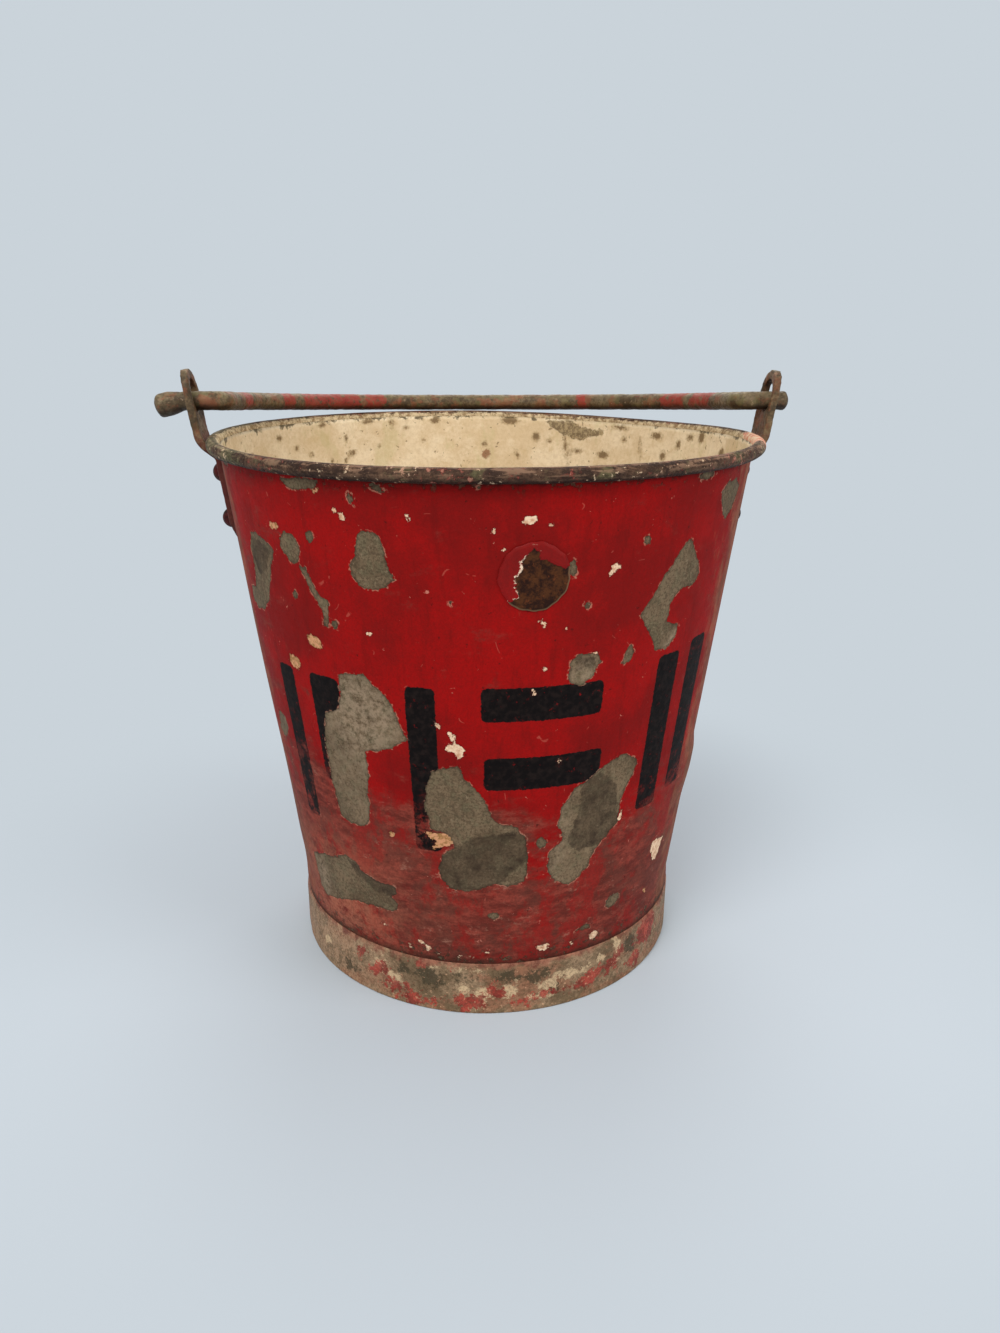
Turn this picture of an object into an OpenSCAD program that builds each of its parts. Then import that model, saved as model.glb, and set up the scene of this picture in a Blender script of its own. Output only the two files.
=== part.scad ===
// A riveted fire bucket of galvanised sheet: a tapered wall rolled over a rim wire, a base plate
// inside a hoop foot, two forged ears and a round-bar bail that lies folded back on the rim.
// Millimetres, +Z up, the foot on z = 0, the bucket's axis on Z, the ears on X, the front at -Y.

/* [Bucket] */
// Height of the bucket from the floor to the top of its rim
height = 291; // [240:1:350]
// Radius over the rolled rim bead
rim_radius = 146; // [121:0.5:176]
// Thickness of the galvanised sheet
sheet = 0.8; // [0.6:0.05:1.2]
// Diameter of the wire inside the rim bead
wire_d = 5; // [3:0.5:7]
// Level of the inside of the base above the floor
base_level = 13; // [11:0.5:20]

/* [Side seam] */
// Direction of the folded seam up the wall, from +X towards +Y
seam_angle = 38; // [25:1:155]
// Width of the folded seam
seam_w = 6; // [3:0.5:10]
// How far the seam stands proud of the wall
seam_rise = 0.8; // [0.3:0.1:1.5]

/* [Foot ring] */
// Outer radius of the foot ring
foot_radius = 109; // [88:0.5:129]
// Height of the foot ring
foot_height = 30; // [20:0.5:36]
// Thickness of the foot ring's strip
foot_sheet = 1.2; // [0.8:0.1:2]
// Height of the doubled hem along the foot ring's lower edge
foot_hem = 5; // [2:0.5:8]

/* [Ears] */
// Thickness of an ear's bar
ear_thick = 4.2; // [3:0.1:6]
// Width of an ear's bar
ear_w = 21; // [18:0.5:26]
// How far an ear reaches below the rim
ear_drop = 57; // [46:1:70]
// How far an ear reaches above the rim
ear_rise = 32; // [27:0.5:40]
// Air between the rim bead and the ear that passes it
ear_air = 2.5; // [1:0.1:5]
// How far the eye leans outwards
ear_lean = 8.5; // [0:0.5:12]
// Width of the eye
eye_w = 13.5; // [12:0.1:15]
// Height of the eye
eye_h = 16.5; // [14:0.1:20]
// Metal above the eye
eye_band = 5.5; // [4:0.1:8]

/* [Rivets] */
// Diameter of a rivet's shank
rivet_d = 6; // [4:0.1:8]
// Diameter of a rivet's head
rivet_head_d = 10.5; // [9:0.1:14]
// Height of a rivet's domed head
rivet_head_h = 4; // [2.5:0.1:5]
// Height of a rivet's flat tail inside the bucket
rivet_tail_h = 1.6; // [1:0.1:3]
// Depths of the two rivets below the rim
rivet_drops = [20.5, 45]; // [17:0.5:50]

/* [Bail] */
// Diameter of the bail's round bar
rod_d = 10; // [8:0.1:11.5]
// Length of the straight leg between each bend and the arch
bail_leg = 1; // [1:0.5:10]
// Radius of the bends that turn the bar out through the ears
bail_bend = 8; // [6.5:0.1:12]
// End play between the bends and the ears
bail_play = 6.3; // [1:0.1:9]
// How far the left end reaches past its ear
left_end = 17.5; // [12:0.5:22]
// How far the right end reaches past its ear
right_end = 8.5; // [5:0.5:14]
// Diameter of the hammered-up left end
upset_d = 12.4; // [10:0.1:13]
// Angle by which the left end droops
end_droop = 12; // [4:1:16]

/* [Front disc] */
// Diameter of the disc soldered to the front
disc_d = 32; // [20:0.5:45]
// Thickness of the disc
disc_thick = 1.2; // [0.8:0.1:2]
// Direction of the disc, from +X towards +Y
disc_angle = -85; // [-140:1:-40]
// Height of the disc's centre above the floor
disc_level = 243; // [150:1:250]

/* [Hidden] */
$fn = 96;

// Pieces that sit on each other, and pieces that move past each other
seat_gap = 0.05;
wire_gap = 0.15;
run_gap = 0.3;
// The wall and the base plate's turned-down edge stand on the foot ring's hem
wall_lift = foot_hem + seat_gap;

// The rim bead: the sheet wraps the wire from the wall, over the top and in underneath
wrap_r = wire_d / 2 + wire_gap;
bead_r = wrap_r + sheet;
bead_c = [rim_radius - bead_r, height - bead_r];
curl_sweep = 292;

// The wall's outer face leaves the foot ring's top edge and runs tangent to the wrapped wire
wall_start = [foot_radius - foot_sheet - seat_gap, foot_height];
wall_run = bead_c - wall_start;
slope = atan2(wall_run[0], wall_run[1]) - asin(wrap_r / norm(wall_run));
function wall_r(z) = wall_start[0] + (z - wall_start[1]) * tan(slope);
across = sheet / cos(slope);

// An ear's inner face, from its lower end up: flat on the wall, out past the bead, up the eye
seat_across = seat_gap / cos(slope);
ear_foot_z = height - ear_drop;
ear_leave_z = height - 2 * bead_r - 4.2;
ear_leave = [wall_r(ear_leave_z) + seat_across, ear_leave_z];
ear_pass = [rim_radius + ear_air, height - bead_r];
ear_top = [ear_pass[0] + (ear_rise + bead_r) * tan(ear_lean), height + ear_rise];
ear_foot = [wall_r(ear_foot_z) + seat_across, ear_foot_z];
ear_taper = 9;
ear_tip = 1.6;

// Centre of the eye, half-way through the bar
eye_z = height + ear_rise - eye_band - eye_h / 2;
function ear_in(z) = ear_pass[0] + (z - ear_pass[1]) * tan(ear_lean);
eye_x = ear_in(eye_z) + ear_thick / cos(ear_lean) / 2;

// The bail's pivot: the bar lies on the bottom of both eyes
eye_floor = eye_z - eye_h / 2 * cos(ear_lean) + ear_thick / 2 * sin(ear_lean);
pivot_z = eye_floor + run_gap + rod_d / 2;
// The bar passes the ear's outer face here
ear_out = ear_in(pivot_z) + ear_thick / cos(ear_lean);

// The bail in its own plane: a half-round arch, and at each end a short leg and a bend out to
// the ear. The arch's radius is in hundredths, so that its ends meet the legs exactly.
arch_r = floor(100 * (ear_in(pivot_z) - bail_play - bail_bend)) / 100;
arch_y = bail_bend + bail_leg;
bail_depth = arch_r + arch_y;

// The folded-back bail stops just clear of the rear rim, and so does the folded-forward one
to_bead = [bead_c[0], bead_c[1] - pivot_z];
bar_to_bead = rod_d / 2 + bead_r + run_gap;
rest_tilt = atan2(to_bead[1], to_bead[0])
    + acos((pow(bail_depth, 2) + to_bead * to_bead - pow(bar_to_bead, 2))
           / (2 * bail_depth * norm(to_bead)));
bail_swing = 180 - 2 * rest_tilt;

function unit(v) = v / norm(v);
// To the outside of a step that climbs
function outward(a, b) = let (d = unit(b - a)) [d[1], -d[0]];
function mitre(a, b, c) = let (n = outward(a, b), m = outward(b, c)) (n + m) / (1 + n * m);
// A bend in place of the corner at b, starting and ending at the given distance from it
function bend(a, b, c, reach) = let (p = b + unit(a - b) * reach, q = b + unit(c - b) * reach)
    [for (t = [0:0.25:1]) p * pow(1 - t, 2) + b * 2 * t * (1 - t) + q * pow(t, 2)];

// The arc of a domed cap of radius r and height h that starts at the given level
function cap(r, h, level) = let (ball = (r * r + h * h) / (2 * h), half = asin(r / ball))
    [for (i = [0:8]) let (a = half * (1 - i / 8)) [ball * sin(a), level + h - ball * (1 - cos(a))]];

ear_inside = concat([ear_foot, ear_foot + unit(ear_leave - ear_foot) * ear_taper],
                    bend(ear_foot, ear_leave, ear_pass, 3),
                    bend(ear_leave, ear_pass, ear_top, 3), [ear_top]);
ear_last = len(ear_inside) - 1;
ear_outside = [for (i = [0:ear_last])
    i == 0 ? ear_inside[0] + outward(ear_inside[0], ear_inside[1]) * ear_tip
    : i == ear_last ? ear_inside[i] + outward(ear_inside[i - 1], ear_inside[i]) * ear_thick
    : ear_inside[i] + mitre(ear_inside[i - 1], ear_inside[i], ear_inside[i + 1]) * ear_thick];

// Local X is the wall's outward normal and local Z runs up the wall
module on_wall(angle, z) {
    rotate([0, 0, angle]) translate([wall_r(z), 0, z]) rotate([0, slope, 0]) children();
}

module bar_along_x(d, from, to) {
    translate([from, 0, 0]) rotate([0, 90, 0]) cylinder(d = d, h = to - from);
}

module bar_along_y(d, length) {
    rotate([-90, 0, 0]) cylinder(d = d, h = length);
}

// Turns a section, whose second coordinate is the place along X
module turned_on_x() {
    rotate([0, 90, 0]) rotate_extrude() children();
}

module bar_arc(d, radius, sweep) {
    rotate_extrude(angle = sweep) translate([radius, 0]) circle(d = d);
}

module rivet_holes(angle) {
    for (drop = rivet_drops)
        on_wall(angle, height - drop)
            bar_along_x(rivet_d + 2 * seat_gap, -2 * ear_thick, 2 * ear_thick);
}

// The sheet's section: the sloping wall and its curl over the wire, in steps of a few degrees
module wall_section() {
    curl = [for (i = [0:40]) let (a = 180 - slope - i / 40 * curl_sweep) [cos(a), sin(a)]];
    polygon(concat([[wall_r(wall_lift) - across, wall_lift]],
                   [for (a = curl) bead_c + a * bead_r],
                   [for (i = [40:-1:0]) bead_c + curl[i] * wrap_r],
                   [[wall_r(wall_lift), wall_lift]]));
}

module wall() {
    color("firebrick") difference() {
        union() {
            rotate_extrude() wall_section();
            on_wall(seam_angle, foot_height)
                translate([-sheet / 2, -seam_w / 2, 1])
                    cube([sheet / 2 + seam_rise, seam_w, norm(wall_run) - 2 * bead_r - 2]);
        }
        for (angle = [0, 180]) rivet_holes(angle);
    }
}

module rim_wire() {
    color("dimgray") rotate_extrude() translate(bead_c) circle(d = wire_d);
}

// A shallow pan upside down: a flat floor with its edge turned down inside the wall
module base_plate() {
    side = wall_r(base_level) - across - seat_across;
    low_side = wall_r(wall_lift) - across - seat_across;
    color("wheat") rotate_extrude()
        polygon([[0, base_level - sheet], [side - 2 * across, base_level - sheet],
                 [low_side - across, wall_lift], [low_side, wall_lift],
                 [side - sheet * tan(slope), base_level - sheet],
                 [side - sheet / 2, base_level], [0, base_level]]);
}

module foot_ring() {
    inner = foot_radius - foot_sheet;
    color("gray") rotate_extrude()
        polygon([[foot_radius - foot_sheet / 2, 0], [foot_radius, foot_sheet / 2],
                 [foot_radius, foot_height - foot_sheet / 3],
                 [foot_radius - foot_sheet / 3, foot_height], [inner, foot_height],
                 [inner, foot_hem], [inner - foot_sheet, foot_hem],
                 [inner - foot_sheet, foot_sheet / 2], [inner - foot_sheet / 2, 0]]);
}

// A disc rolled to the wall's curve
module front_disc() {
    near = seat_across;
    far = near + disc_thick / cos(slope);
    low = disc_level - disc_d;
    high = disc_level + disc_d;
    color("saddlebrown") intersection() {
        rotate([0, 0, disc_angle - 15]) rotate_extrude(angle = 30)
            polygon([[wall_r(low) + near, low], [wall_r(low) + far, low],
                     [wall_r(high) + far, high], [wall_r(high) + near, high]]);
        on_wall(disc_angle, disc_level) bar_along_x(disc_d, -disc_d / 4, disc_d / 4);
    }
}

// Front view of an ear: round-headed over the eye, tapering to a rounded lower end
module ear_outline() {
    head = height + ear_rise - ear_w / 2;
    tail_r = ear_w / 3;
    tail = ear_foot_z + tail_r;
    polygon(concat([for (a = [0:7.5:180]) [0, head] + ear_w / 2 * [cos(a), sin(a)]],
                   [[-ear_w / 2, height - ear_drop / 2]],
                   [for (a = [180:15:360]) [0, tail] + tail_r * [cos(a), sin(a)]],
                   [[ear_w / 2, height - ear_drop / 2]]));
}

module eye() {
    translate([eye_x, 0, eye_z]) rotate([0, ear_lean, 0]) {
        for (s = [-1, 1]) translate([0, 0, s * (eye_h - eye_w) / 2])
            bar_along_x(eye_w, -ear_thick, ear_thick);
        cube([2 * ear_thick, eye_w, eye_h - eye_w], center = true);
    }
}

module ear(angle) {
    color("sienna") rotate([0, 0, angle]) difference() {
        intersection() {
            rotate([0, 0, -8]) rotate_extrude(angle = 16)
                polygon(concat(ear_inside, [for (i = [ear_last:-1:0]) ear_outside[i]]));
            translate([rim_radius / 2, 0, 0]) rotate([90, 0, 90])
                linear_extrude(rim_radius) ear_outline();
        }
        eye();
        rivet_holes(0);
    }
}

// A domed head outside the ear, a shank through ear and wall, and a flat tail inside
module rivet(angle, drop) {
    head_x = ear_thick + 2 * seat_gap;
    tail_x = -sheet - 3 * seat_gap;
    tail_r = rivet_head_d * 0.42;
    color("maroon") on_wall(angle, height - drop) turned_on_x()
        polygon(concat([[0, tail_x - rivet_tail_h], [tail_r, tail_x - rivet_tail_h],
                        [tail_r, tail_x], [rivet_d / 2, tail_x], [rivet_d / 2, head_x]],
                       cap(rivet_head_d / 2, rivet_head_h, head_x)));
}

// A bar's last stretch, which grows out of its middle, swells and ends rounded
module bar_end(d, end_d, length) {
    crown = end_d / 5;
    turned_on_x()
        polygon(concat([[0, -d / 3], [d / 4, -d / 3], [d * 0.51, d / 12], [end_d / 2, length * 0.45]],
                       cap(end_d / 2, crown, length - crown)));
}

// A leg off the arch's end, the bend that turns out to the ear, the bar through the ear, and its
// end, which may droop once it is past the ear
module arm(end_d, length, droop) {
    past = ear_out + rod_d / 4;
    elbow_x = arch_r + bail_bend;
    translate([arch_r, bail_bend, 0]) bar_along_y(rod_d, bail_leg);
    translate([elbow_x, bail_bend, 0]) rotate([0, 0, 180]) bar_arc(rod_d, bail_bend, 90);
    bar_along_x(rod_d, elbow_x, past);
    translate([past, 0, 0]) rotate([0, droop, 0]) bar_end(rod_d, end_d, length - rod_d / 4);
}

module bail() {
    color("olive") translate([0, 0, pivot_z]) rotate([rest_tilt, 0, 0]) {
        translate([0, arch_y, 0]) bar_arc(rod_d, arch_r, 180);
        arm(rod_d * 1.05, right_end, 0);
        mirror([1, 0, 0]) arm(upset_d, left_end, end_droop);
    }
}

wall();
rim_wire();
base_plate();
foot_ring();
front_disc();
ear(180);  // left_ear
ear(0);  // right_ear
rivet(180, rivet_drops[0]);  // left_upper_rivet
rivet(180, rivet_drops[1]);  // left_lower_rivet
rivet(0, rivet_drops[0]);  // right_upper_rivet
rivet(0, rivet_drops[1]);  // right_lower_rivet
bail();
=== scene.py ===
import math

import bpy
import numpy as np
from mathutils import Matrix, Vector, noise


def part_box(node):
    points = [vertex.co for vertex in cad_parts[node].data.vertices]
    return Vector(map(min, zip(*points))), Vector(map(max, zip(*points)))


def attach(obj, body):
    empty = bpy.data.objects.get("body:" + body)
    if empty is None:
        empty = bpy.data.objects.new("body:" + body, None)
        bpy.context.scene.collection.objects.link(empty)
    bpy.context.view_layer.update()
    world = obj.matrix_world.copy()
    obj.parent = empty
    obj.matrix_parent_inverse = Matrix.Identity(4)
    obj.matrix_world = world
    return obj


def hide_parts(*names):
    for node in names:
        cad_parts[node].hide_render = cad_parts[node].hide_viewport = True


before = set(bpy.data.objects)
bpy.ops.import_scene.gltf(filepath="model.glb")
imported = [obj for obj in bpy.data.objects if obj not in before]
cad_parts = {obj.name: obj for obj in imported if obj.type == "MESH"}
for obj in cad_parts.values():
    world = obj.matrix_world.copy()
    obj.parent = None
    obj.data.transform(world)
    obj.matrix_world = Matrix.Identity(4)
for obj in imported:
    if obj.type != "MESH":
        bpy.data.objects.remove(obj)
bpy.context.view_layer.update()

MM = 0.001

# Sizes in millimetres, from the frame's boxes and the usual gauges of sheet. SLOPE is in
# radians, and the other angles are in degrees.
WALL_LOW, WALL_HIGH = [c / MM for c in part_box("wall")]
FOOT_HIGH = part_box("foot_ring")[1] / MM
DISC_LOW, DISC_HIGH = [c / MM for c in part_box("front_disc")]
BAIL_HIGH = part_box("bail")[1] / MM
RIM_R = WALL_HIGH.x
RIM_TOP = WALL_HIGH.z
WALL_FOOT = WALL_LOW.z
SHEET = 0.8
BEAD_R = 3.45
BEAD_AT = (RIM_R - BEAD_R, RIM_TOP - BEAD_R)
FOOT_R = FOOT_HIGH.x
FOOT_TOP = FOOT_HIGH.z
FOOT_SHEET = 1.2
FOOT_HEM = 5.0
SEAT_GAP = 0.05
WALL_START_R = FOOT_R - FOOT_SHEET - SEAT_GAP
BEAD_OUT = BEAD_AT[0] - WALL_START_R
BEAD_UP = BEAD_AT[1] - FOOT_TOP
SLOPE = math.atan2(BEAD_OUT, BEAD_UP) - math.asin((BEAD_R - SHEET) / math.hypot(BEAD_OUT, BEAD_UP))
ACROSS = SHEET / math.cos(SLOPE)
SEAM_ANGLE = 38.0
SEAM_W = 6.0
SEAM_RISE = 0.7
SEAM_AT_R = 130.0
DISC_ANGLE = -85.0
DISC_Z = (DISC_LOW.z + DISC_HIGH.z) / 2
DISC_R = 16.0
DISC_THICK = 1.2
DISC_MM_PER_DEGREE = 2.33
ARCH_MIDDLE_Y = 9.0


def wall_radius(z):
    """Radius of the wall's outer face at a height."""
    return WALL_START_R + (z - FOOT_TOP) * math.tan(SLOPE)


# ---------------------------------------------------------------- marks, in degrees and mm
# A direction round the bucket is measured from +X towards +Y, and a height from the floor.
# A spot is an oval: direction, height, half its width, half its height, and its tilt if any.

# Paint lost down to dull zinc: outlines
ZINC_CHIPS = [
    [(-118.5, 255), (-117.5, 260.5), (-115.5, 262.5), (-113.5, 260), (-112.8, 252),
     (-112, 245), (-111.2, 241), (-112.5, 236.5), (-115.5, 234.5), (-118.5, 235),
     (-119.7, 240), (-120.3, 245), (-119.3, 250)],
    [(-150, 251), (-147.5, 253), (-144, 249.5), (-140.8, 246), (-142, 240), (-144, 233),
     (-146, 224), (-147.5, 217), (-151, 211), (-155, 210), (-159, 214), (-158, 221),
     (-154, 221), (-152, 232), (-152, 242)],
    [(-138, 253), (-136, 256.5), (-133.5, 256), (-132, 250), (-133, 244), (-135, 241),
     (-136.5, 245), (-138.2, 249)],
    [(-133.2, 241.5), (-131.5, 241), (-130, 235), (-129, 229), (-126.8, 226),
     (-126.6, 221), (-127.6, 213), (-128.8, 213), (-128.6, 221), (-131, 229)],
    [(-50, 254), (-48, 247), (-45.5, 240), (-44, 232), (-46, 229), (-51, 227.5),
     (-53, 222), (-53, 214), (-50.5, 211), (-48.2, 209.5), (-48.8, 206), (-51, 200),
     (-52, 198.5), (-55.5, 200), (-57, 206), (-59, 212), (-61.5, 219), (-60, 225),
     (-58, 231), (-56, 238), (-53, 247)],
    [(-41.5, 272), (-39, 276.5), (-34, 276), (-31, 272), (-33, 264), (-36, 257),
     (-38.5, 261), (-40, 267)],
    [(-135.5, 281.5), (-130, 283), (-125, 283), (-126, 278.5), (-132, 277.5)],
    [(-64.7, 196), (-64.3, 203), (-62.8, 206.5), (-61.7, 202), (-62.3, 198)],
    [(-76.7, 202), (-75.5, 204.5), (-71, 204.7), (-69.7, 200), (-71.5, 193.5),
     (-74, 189.5), (-76.5, 191.5), (-77.2, 197)],
    [(-126.5, 190.5), (-120, 192), (-116.5, 186), (-114, 178), (-112.5, 169), (-111, 161),
     (-114, 157.5), (-118, 153), (-121.8, 151), (-122, 140), (-122.5, 130), (-123, 120),
     (-123.5, 110), (-125, 106.5), (-129, 106), (-132.5, 109), (-133.5, 118),
     (-134.2, 132), (-134.2, 146), (-133.7, 158), (-132, 167), (-128, 172),
     (-126.7, 180), (-126.9, 187)],
    [(-104, 147.5), (-100, 149.5), (-99, 144), (-97.5, 139), (-95, 134), (-93.5, 127),
     (-92.5, 121), (-90, 116.5), (-86.5, 115), (-84.3, 108), (-83.7, 95), (-83.8, 81),
     (-88.5, 80.5), (-91.5, 81.5), (-95, 79), (-98.5, 77), (-103, 79), (-105.3, 84),
     (-105.8, 91), (-104.5, 98), (-101.5, 103), (-103, 110), (-107, 113), (-108, 124),
     (-107.5, 138), (-105.8, 145.5)],
    [(-56, 142), (-60, 147), (-65, 144), (-69, 138), (-73, 133), (-76, 124),
     (-76.4, 114), (-75, 105), (-78.4, 97), (-78.2, 87), (-76, 79.5), (-72, 76.5),
     (-69, 80), (-66.5, 87), (-65, 95), (-62, 101), (-59.5, 107), (-59, 116),
     (-58.6, 126), (-56.5, 133), (-55.3, 138)],
    [(-151, 71), (-145, 75), (-138, 79), (-134, 83.5), (-130, 82), (-128.5, 77),
     (-124, 74), (-118, 74.5), (-117.5, 69), (-120, 67), (-117.5, 63), (-118.5, 58),
     (-124, 57), (-130, 56), (-136, 53), (-142, 49), (-147, 46), (-151, 50),
     (-151.5, 60)],
    [(-159, 141), (-156.5, 153), (-152, 152), (-151, 146), (-154, 139), (-157, 137)],
    # the back and the sides, which are worn in the same way
    [(166, 228), (168.5, 234), (172, 230), (176, 233), (179, 224), (175.5, 216), (177, 206),
     (172, 195), (169.5, 199), (169, 209), (164, 215)],
    [(141, 151), (140, 163), (144.5, 171), (145.5, 184), (151, 181), (152, 172), (158.5, 168),
     (160, 155), (155, 148), (156, 137), (150.5, 126), (148, 130), (148, 141), (143, 143)],
    [(110, 231), (112.5, 242), (118, 246), (121.5, 239), (119.5, 232), (124.5, 227), (122, 215),
     (117.5, 211), (117, 221), (112, 223)],
    [(88, 98), (92.5, 112), (96, 115), (96.5, 128), (103.5, 133), (107, 123), (114.5, 120),
     (117, 104), (110.5, 97), (113, 84), (106.5, 73), (100.5, 77), (99, 87), (92.5, 84)],
    [(70, 187), (73, 202), (77.5, 208), (79.5, 199), (85.5, 196), (83, 184), (87, 173),
     (81.5, 158), (77, 162), (77.5, 174), (71, 178)],
    [(44, 119), (46, 135), (51, 146), (54, 137), (60.5, 131), (58, 119), (61.5, 110), (56.5, 92),
     (52, 96), (51, 107)],
    [(13, 158), (15.5, 170), (20, 174), (21, 185), (26, 181), (27, 170), (31, 160), (26.5, 150),
     (27, 138), (21.5, 129), (18.5, 136), (19, 147)],
    [(-14, 88), (-11, 97), (-9.5, 107), (-4, 104), (-4, 95), (1.5, 88), (-2, 77), (-1.5, 66),
     (-7.5, 60), (-9, 70), (-12.5, 76)],
    [(27, 58), (33, 71), (38, 67), (45, 70), (52, 60), (49, 51), (51, 43), (41, 39), (37, 45),
     (29, 47)],
    [(127, 58), (131, 69), (138, 67), (142, 74), (151, 67), (150, 56), (154, 48), (144, 41),
     (138, 47), (131, 45)],
    [(56, 268), (60, 276), (66, 278), (69, 272), (75, 270), (72, 262), (65, 258), (61, 263)],
    [(-176, 118), (-172, 131), (-169, 127), (-167, 112), (-170, 99), (-175, 104)],
]

# Inside the chips, zinc that has been bare the longest and gone dark
OLD_ZINC = [
    [(-106, 88), (-105, 97), (-102, 102), (-97.5, 108), (-93, 111), (-87, 112), (-84, 108),
     (-83, 95), (-85.5, 91), (-88, 88), (-90, 82), (-95, 78), (-104, 77)],
    [(-71, 136), (-66, 140), (-61, 129), (-59, 107), (-63.5, 97), (-70, 96), (-74.4, 101),
     (-72, 112), (-71, 126)],
    [(-134, 84), (-128, 79), (-123, 76), (-116, 76), (-116, 68), (-121, 66.5), (-126, 68),
     (-131, 73)],
    [(-75.6, 203.5), (-71.3, 203), (-71.3, 198.2), (-75.4, 197)],
    [(146, 176), (151, 176), (155, 165), (158, 160), (154, 150), (147, 154), (143, 163)],
    [(96, 122), (103, 128), (105, 119), (112, 114), (113, 104), (104, 99), (98, 108)],
    [(-150, 250), (-146, 248), (-142, 245), (-145, 236), (-149, 230), (-152, 238)],
]

# Paint lost down to zinc: spots
ZINC_SPOTS = [
    (-129, 257, 2.2, 2.8), (-125.6, 215.5, 1.6, 2), (-113, 281, 3.4, 1.6, -20),
    (-95, 283, 2.4, 1.4), (-48, 282, 6, 2.2), (-62.3, 256, 1.8, 2.4), (-74.2, 228, 1.7, 1.8),
    (-77.8, 246.5, 2.3, 3.6), (-118.4, 276, 1.2, 2.6, 10), (-72, 126, 2.2, 4, 30),
    (-80.5, 105, 2.6, 3.2), (-136, 226, 1.4, 1.8), (-57, 57, 5, 4, 30), (-92, 62, 3, 2.2),
    (-66, 45, 4, 2), (-100.5, 231, 1, 1), (63, 252, 3, 4, 20), (135, 246, 2.6, 3.4, -20),
    (98, 196, 2.4, 2.6), (9, 214, 3, 4.4, 10), (124, 152, 3.4, 3), (66, 72, 4.5, 3.4, 15),
    (131, 98, 2, 2.6), (156, 206, 1.6, 2), (89, 226, 1.4, 1.8), (36, 172, 1.8, 3, 15),
    (-3, 188, 2, 3.4), (102, 60, 3, 2), (171, 152, 2.2, 3, -15), (47, 246, 1.6, 1.4),
    (-9, 146, 2, 2.6), (118, 283, 8, 2), (20, 282, 5, 1.8), (-160, 282, 5, 1.8),
    (84, 280, 2.4, 3.6)]

# Top coat lost down to the cream undercoat: spots
CREAM_SPOTS = [
    (-132.4, 204.2, 5, 2.9, -12), (-140.6, 189.4, 4.6, 3.4, -8), (-139, 258.5, 3.4, 1.9, 8),
    (-120.7, 267.2, 1.7, 1.9), (-122.2, 270.2, 0.9, 1.5, 30), (-126, 278.6, 1.6, 1.2),
    (-69.3, 244.6, 1.5, 2.8, -25), (-68.4, 245, 1.2, 0.9, 30), (-82.3, 265.3, 0.8, 1.3),
    (-90.6, 255.6, 1, 0.8, 20), (-117.8, 213.8, 1.5, 0.9), (-82, 199.2, 1.3, 1), (-78.5, 218, 1, 1),
    (-83, 221, 2.2, 0.9, -45), (-71.5, 204.3, 1.4, 1.1), (-104.1, 170.6, 0.9, 1.6, 20),
    (-107.8, 269, 0.9, 1.2), (-92.5, 263.5, 0.9, 1), (-117.3, 106, 1.7, 1.4),
    (-69.5, 37.6, 1.4, 1.6), (-62.4, 38.2, 2.8, 2.1, 20), (-93.4, 38.4, 0.9, 0.8),
    (-115.3, 37, 1.2, 1.8), (-110.2, 38.4, 1.6, 2.2, -10), (-107.4, 35.4, 1.6, 1),
    (-111.8, 41.6, 1.2, 0.8), (-101, 34.2, 1.6, 0.8), (-42.4, 51, 1.8, 0.9, -40),
    (-73.5, 125, 1.1, 1.8), (-58.6, 110, 1.2, 2.6), (-77.6, 150, 1, 1.4), (-98, 34.4, 1, 0.8),
    (-123, 47, 1.6, 1), (-84, 187, 0.8, 1.6, 30), (-84.9, 255.4, 1.2, 2), (42, 231, 2.6, 3.4, 20),
    (103, 262, 3.4, 2), (130, 205, 3, 4, -20), (161, 118, 3.6, 2.4), (86, 42, 3.4, 2.6),
    (8, 118, 2.4, 4, 15), (57, 214, 1.8, 1.8), (152, 226, 2, 1.6), (120, 106, 2, 2.8),
    (99, 36, 2.6, 1.6), (64, 38, 3, 2), (158, 38, 2.2, 1.6), (137, 112, 1.2, 2), (79, 244, 1, 1.4),
    (32, 204, 1.4, 1.2), (5, 168, 1, 1.6), (172, 262, 1.6, 1.2), (20, 38, 2.6, 1.6)]

# Top coat lost down to the cream undercoat: outlines
CREAM_CHIPS = [
    [(-87.7, 267.6), (-87.3, 270.2), (-86, 269.6), (-85, 270.3), (-84.9, 267.6),
     (-86.2, 266.7), (-87, 266.6)],
    [(-101.9, 167.6), (-100.8, 166.8), (-100.2, 164.2), (-100.5, 161.6), (-98.4, 158.6),
     (-98.8, 155.6), (-99.9, 152.8), (-100.7, 156.5), (-103.2, 157.6), (-102.6, 160.4),
     (-101.2, 161.4), (-101.6, 163.6)],
    [(-42.8, 82.6), (-40, 81.6), (-36, 80.6), (-37, 74), (-38.5, 68), (-41, 69),
     (-42.5, 75.3)],
    [(-109, 110.8), (-104.5, 111), (-101, 110), (-101.4, 106), (-104.5, 102.4),
     (-107, 101.2), (-105.8, 105), (-107.7, 108)],
    [(-80, 37.4), (-79.6, 40), (-78.6, 39.4), (-77.8, 41), (-76.4, 40.6), (-76.2, 37.8),
     (-77.6, 36.4)],
    [(137, 187), (141, 190), (143, 184), (140, 179)],
]

# Where the undercoat has gone tan: direction and height
TAN_MARKS = [(-132.4, 204.2), (-140.6, 189.4), (-139, 258.5), (-106, 107), (-117.3, 106),
             (-73.5, 125), (-42, 50), (-126, 278.6), (8, 118)]

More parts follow.
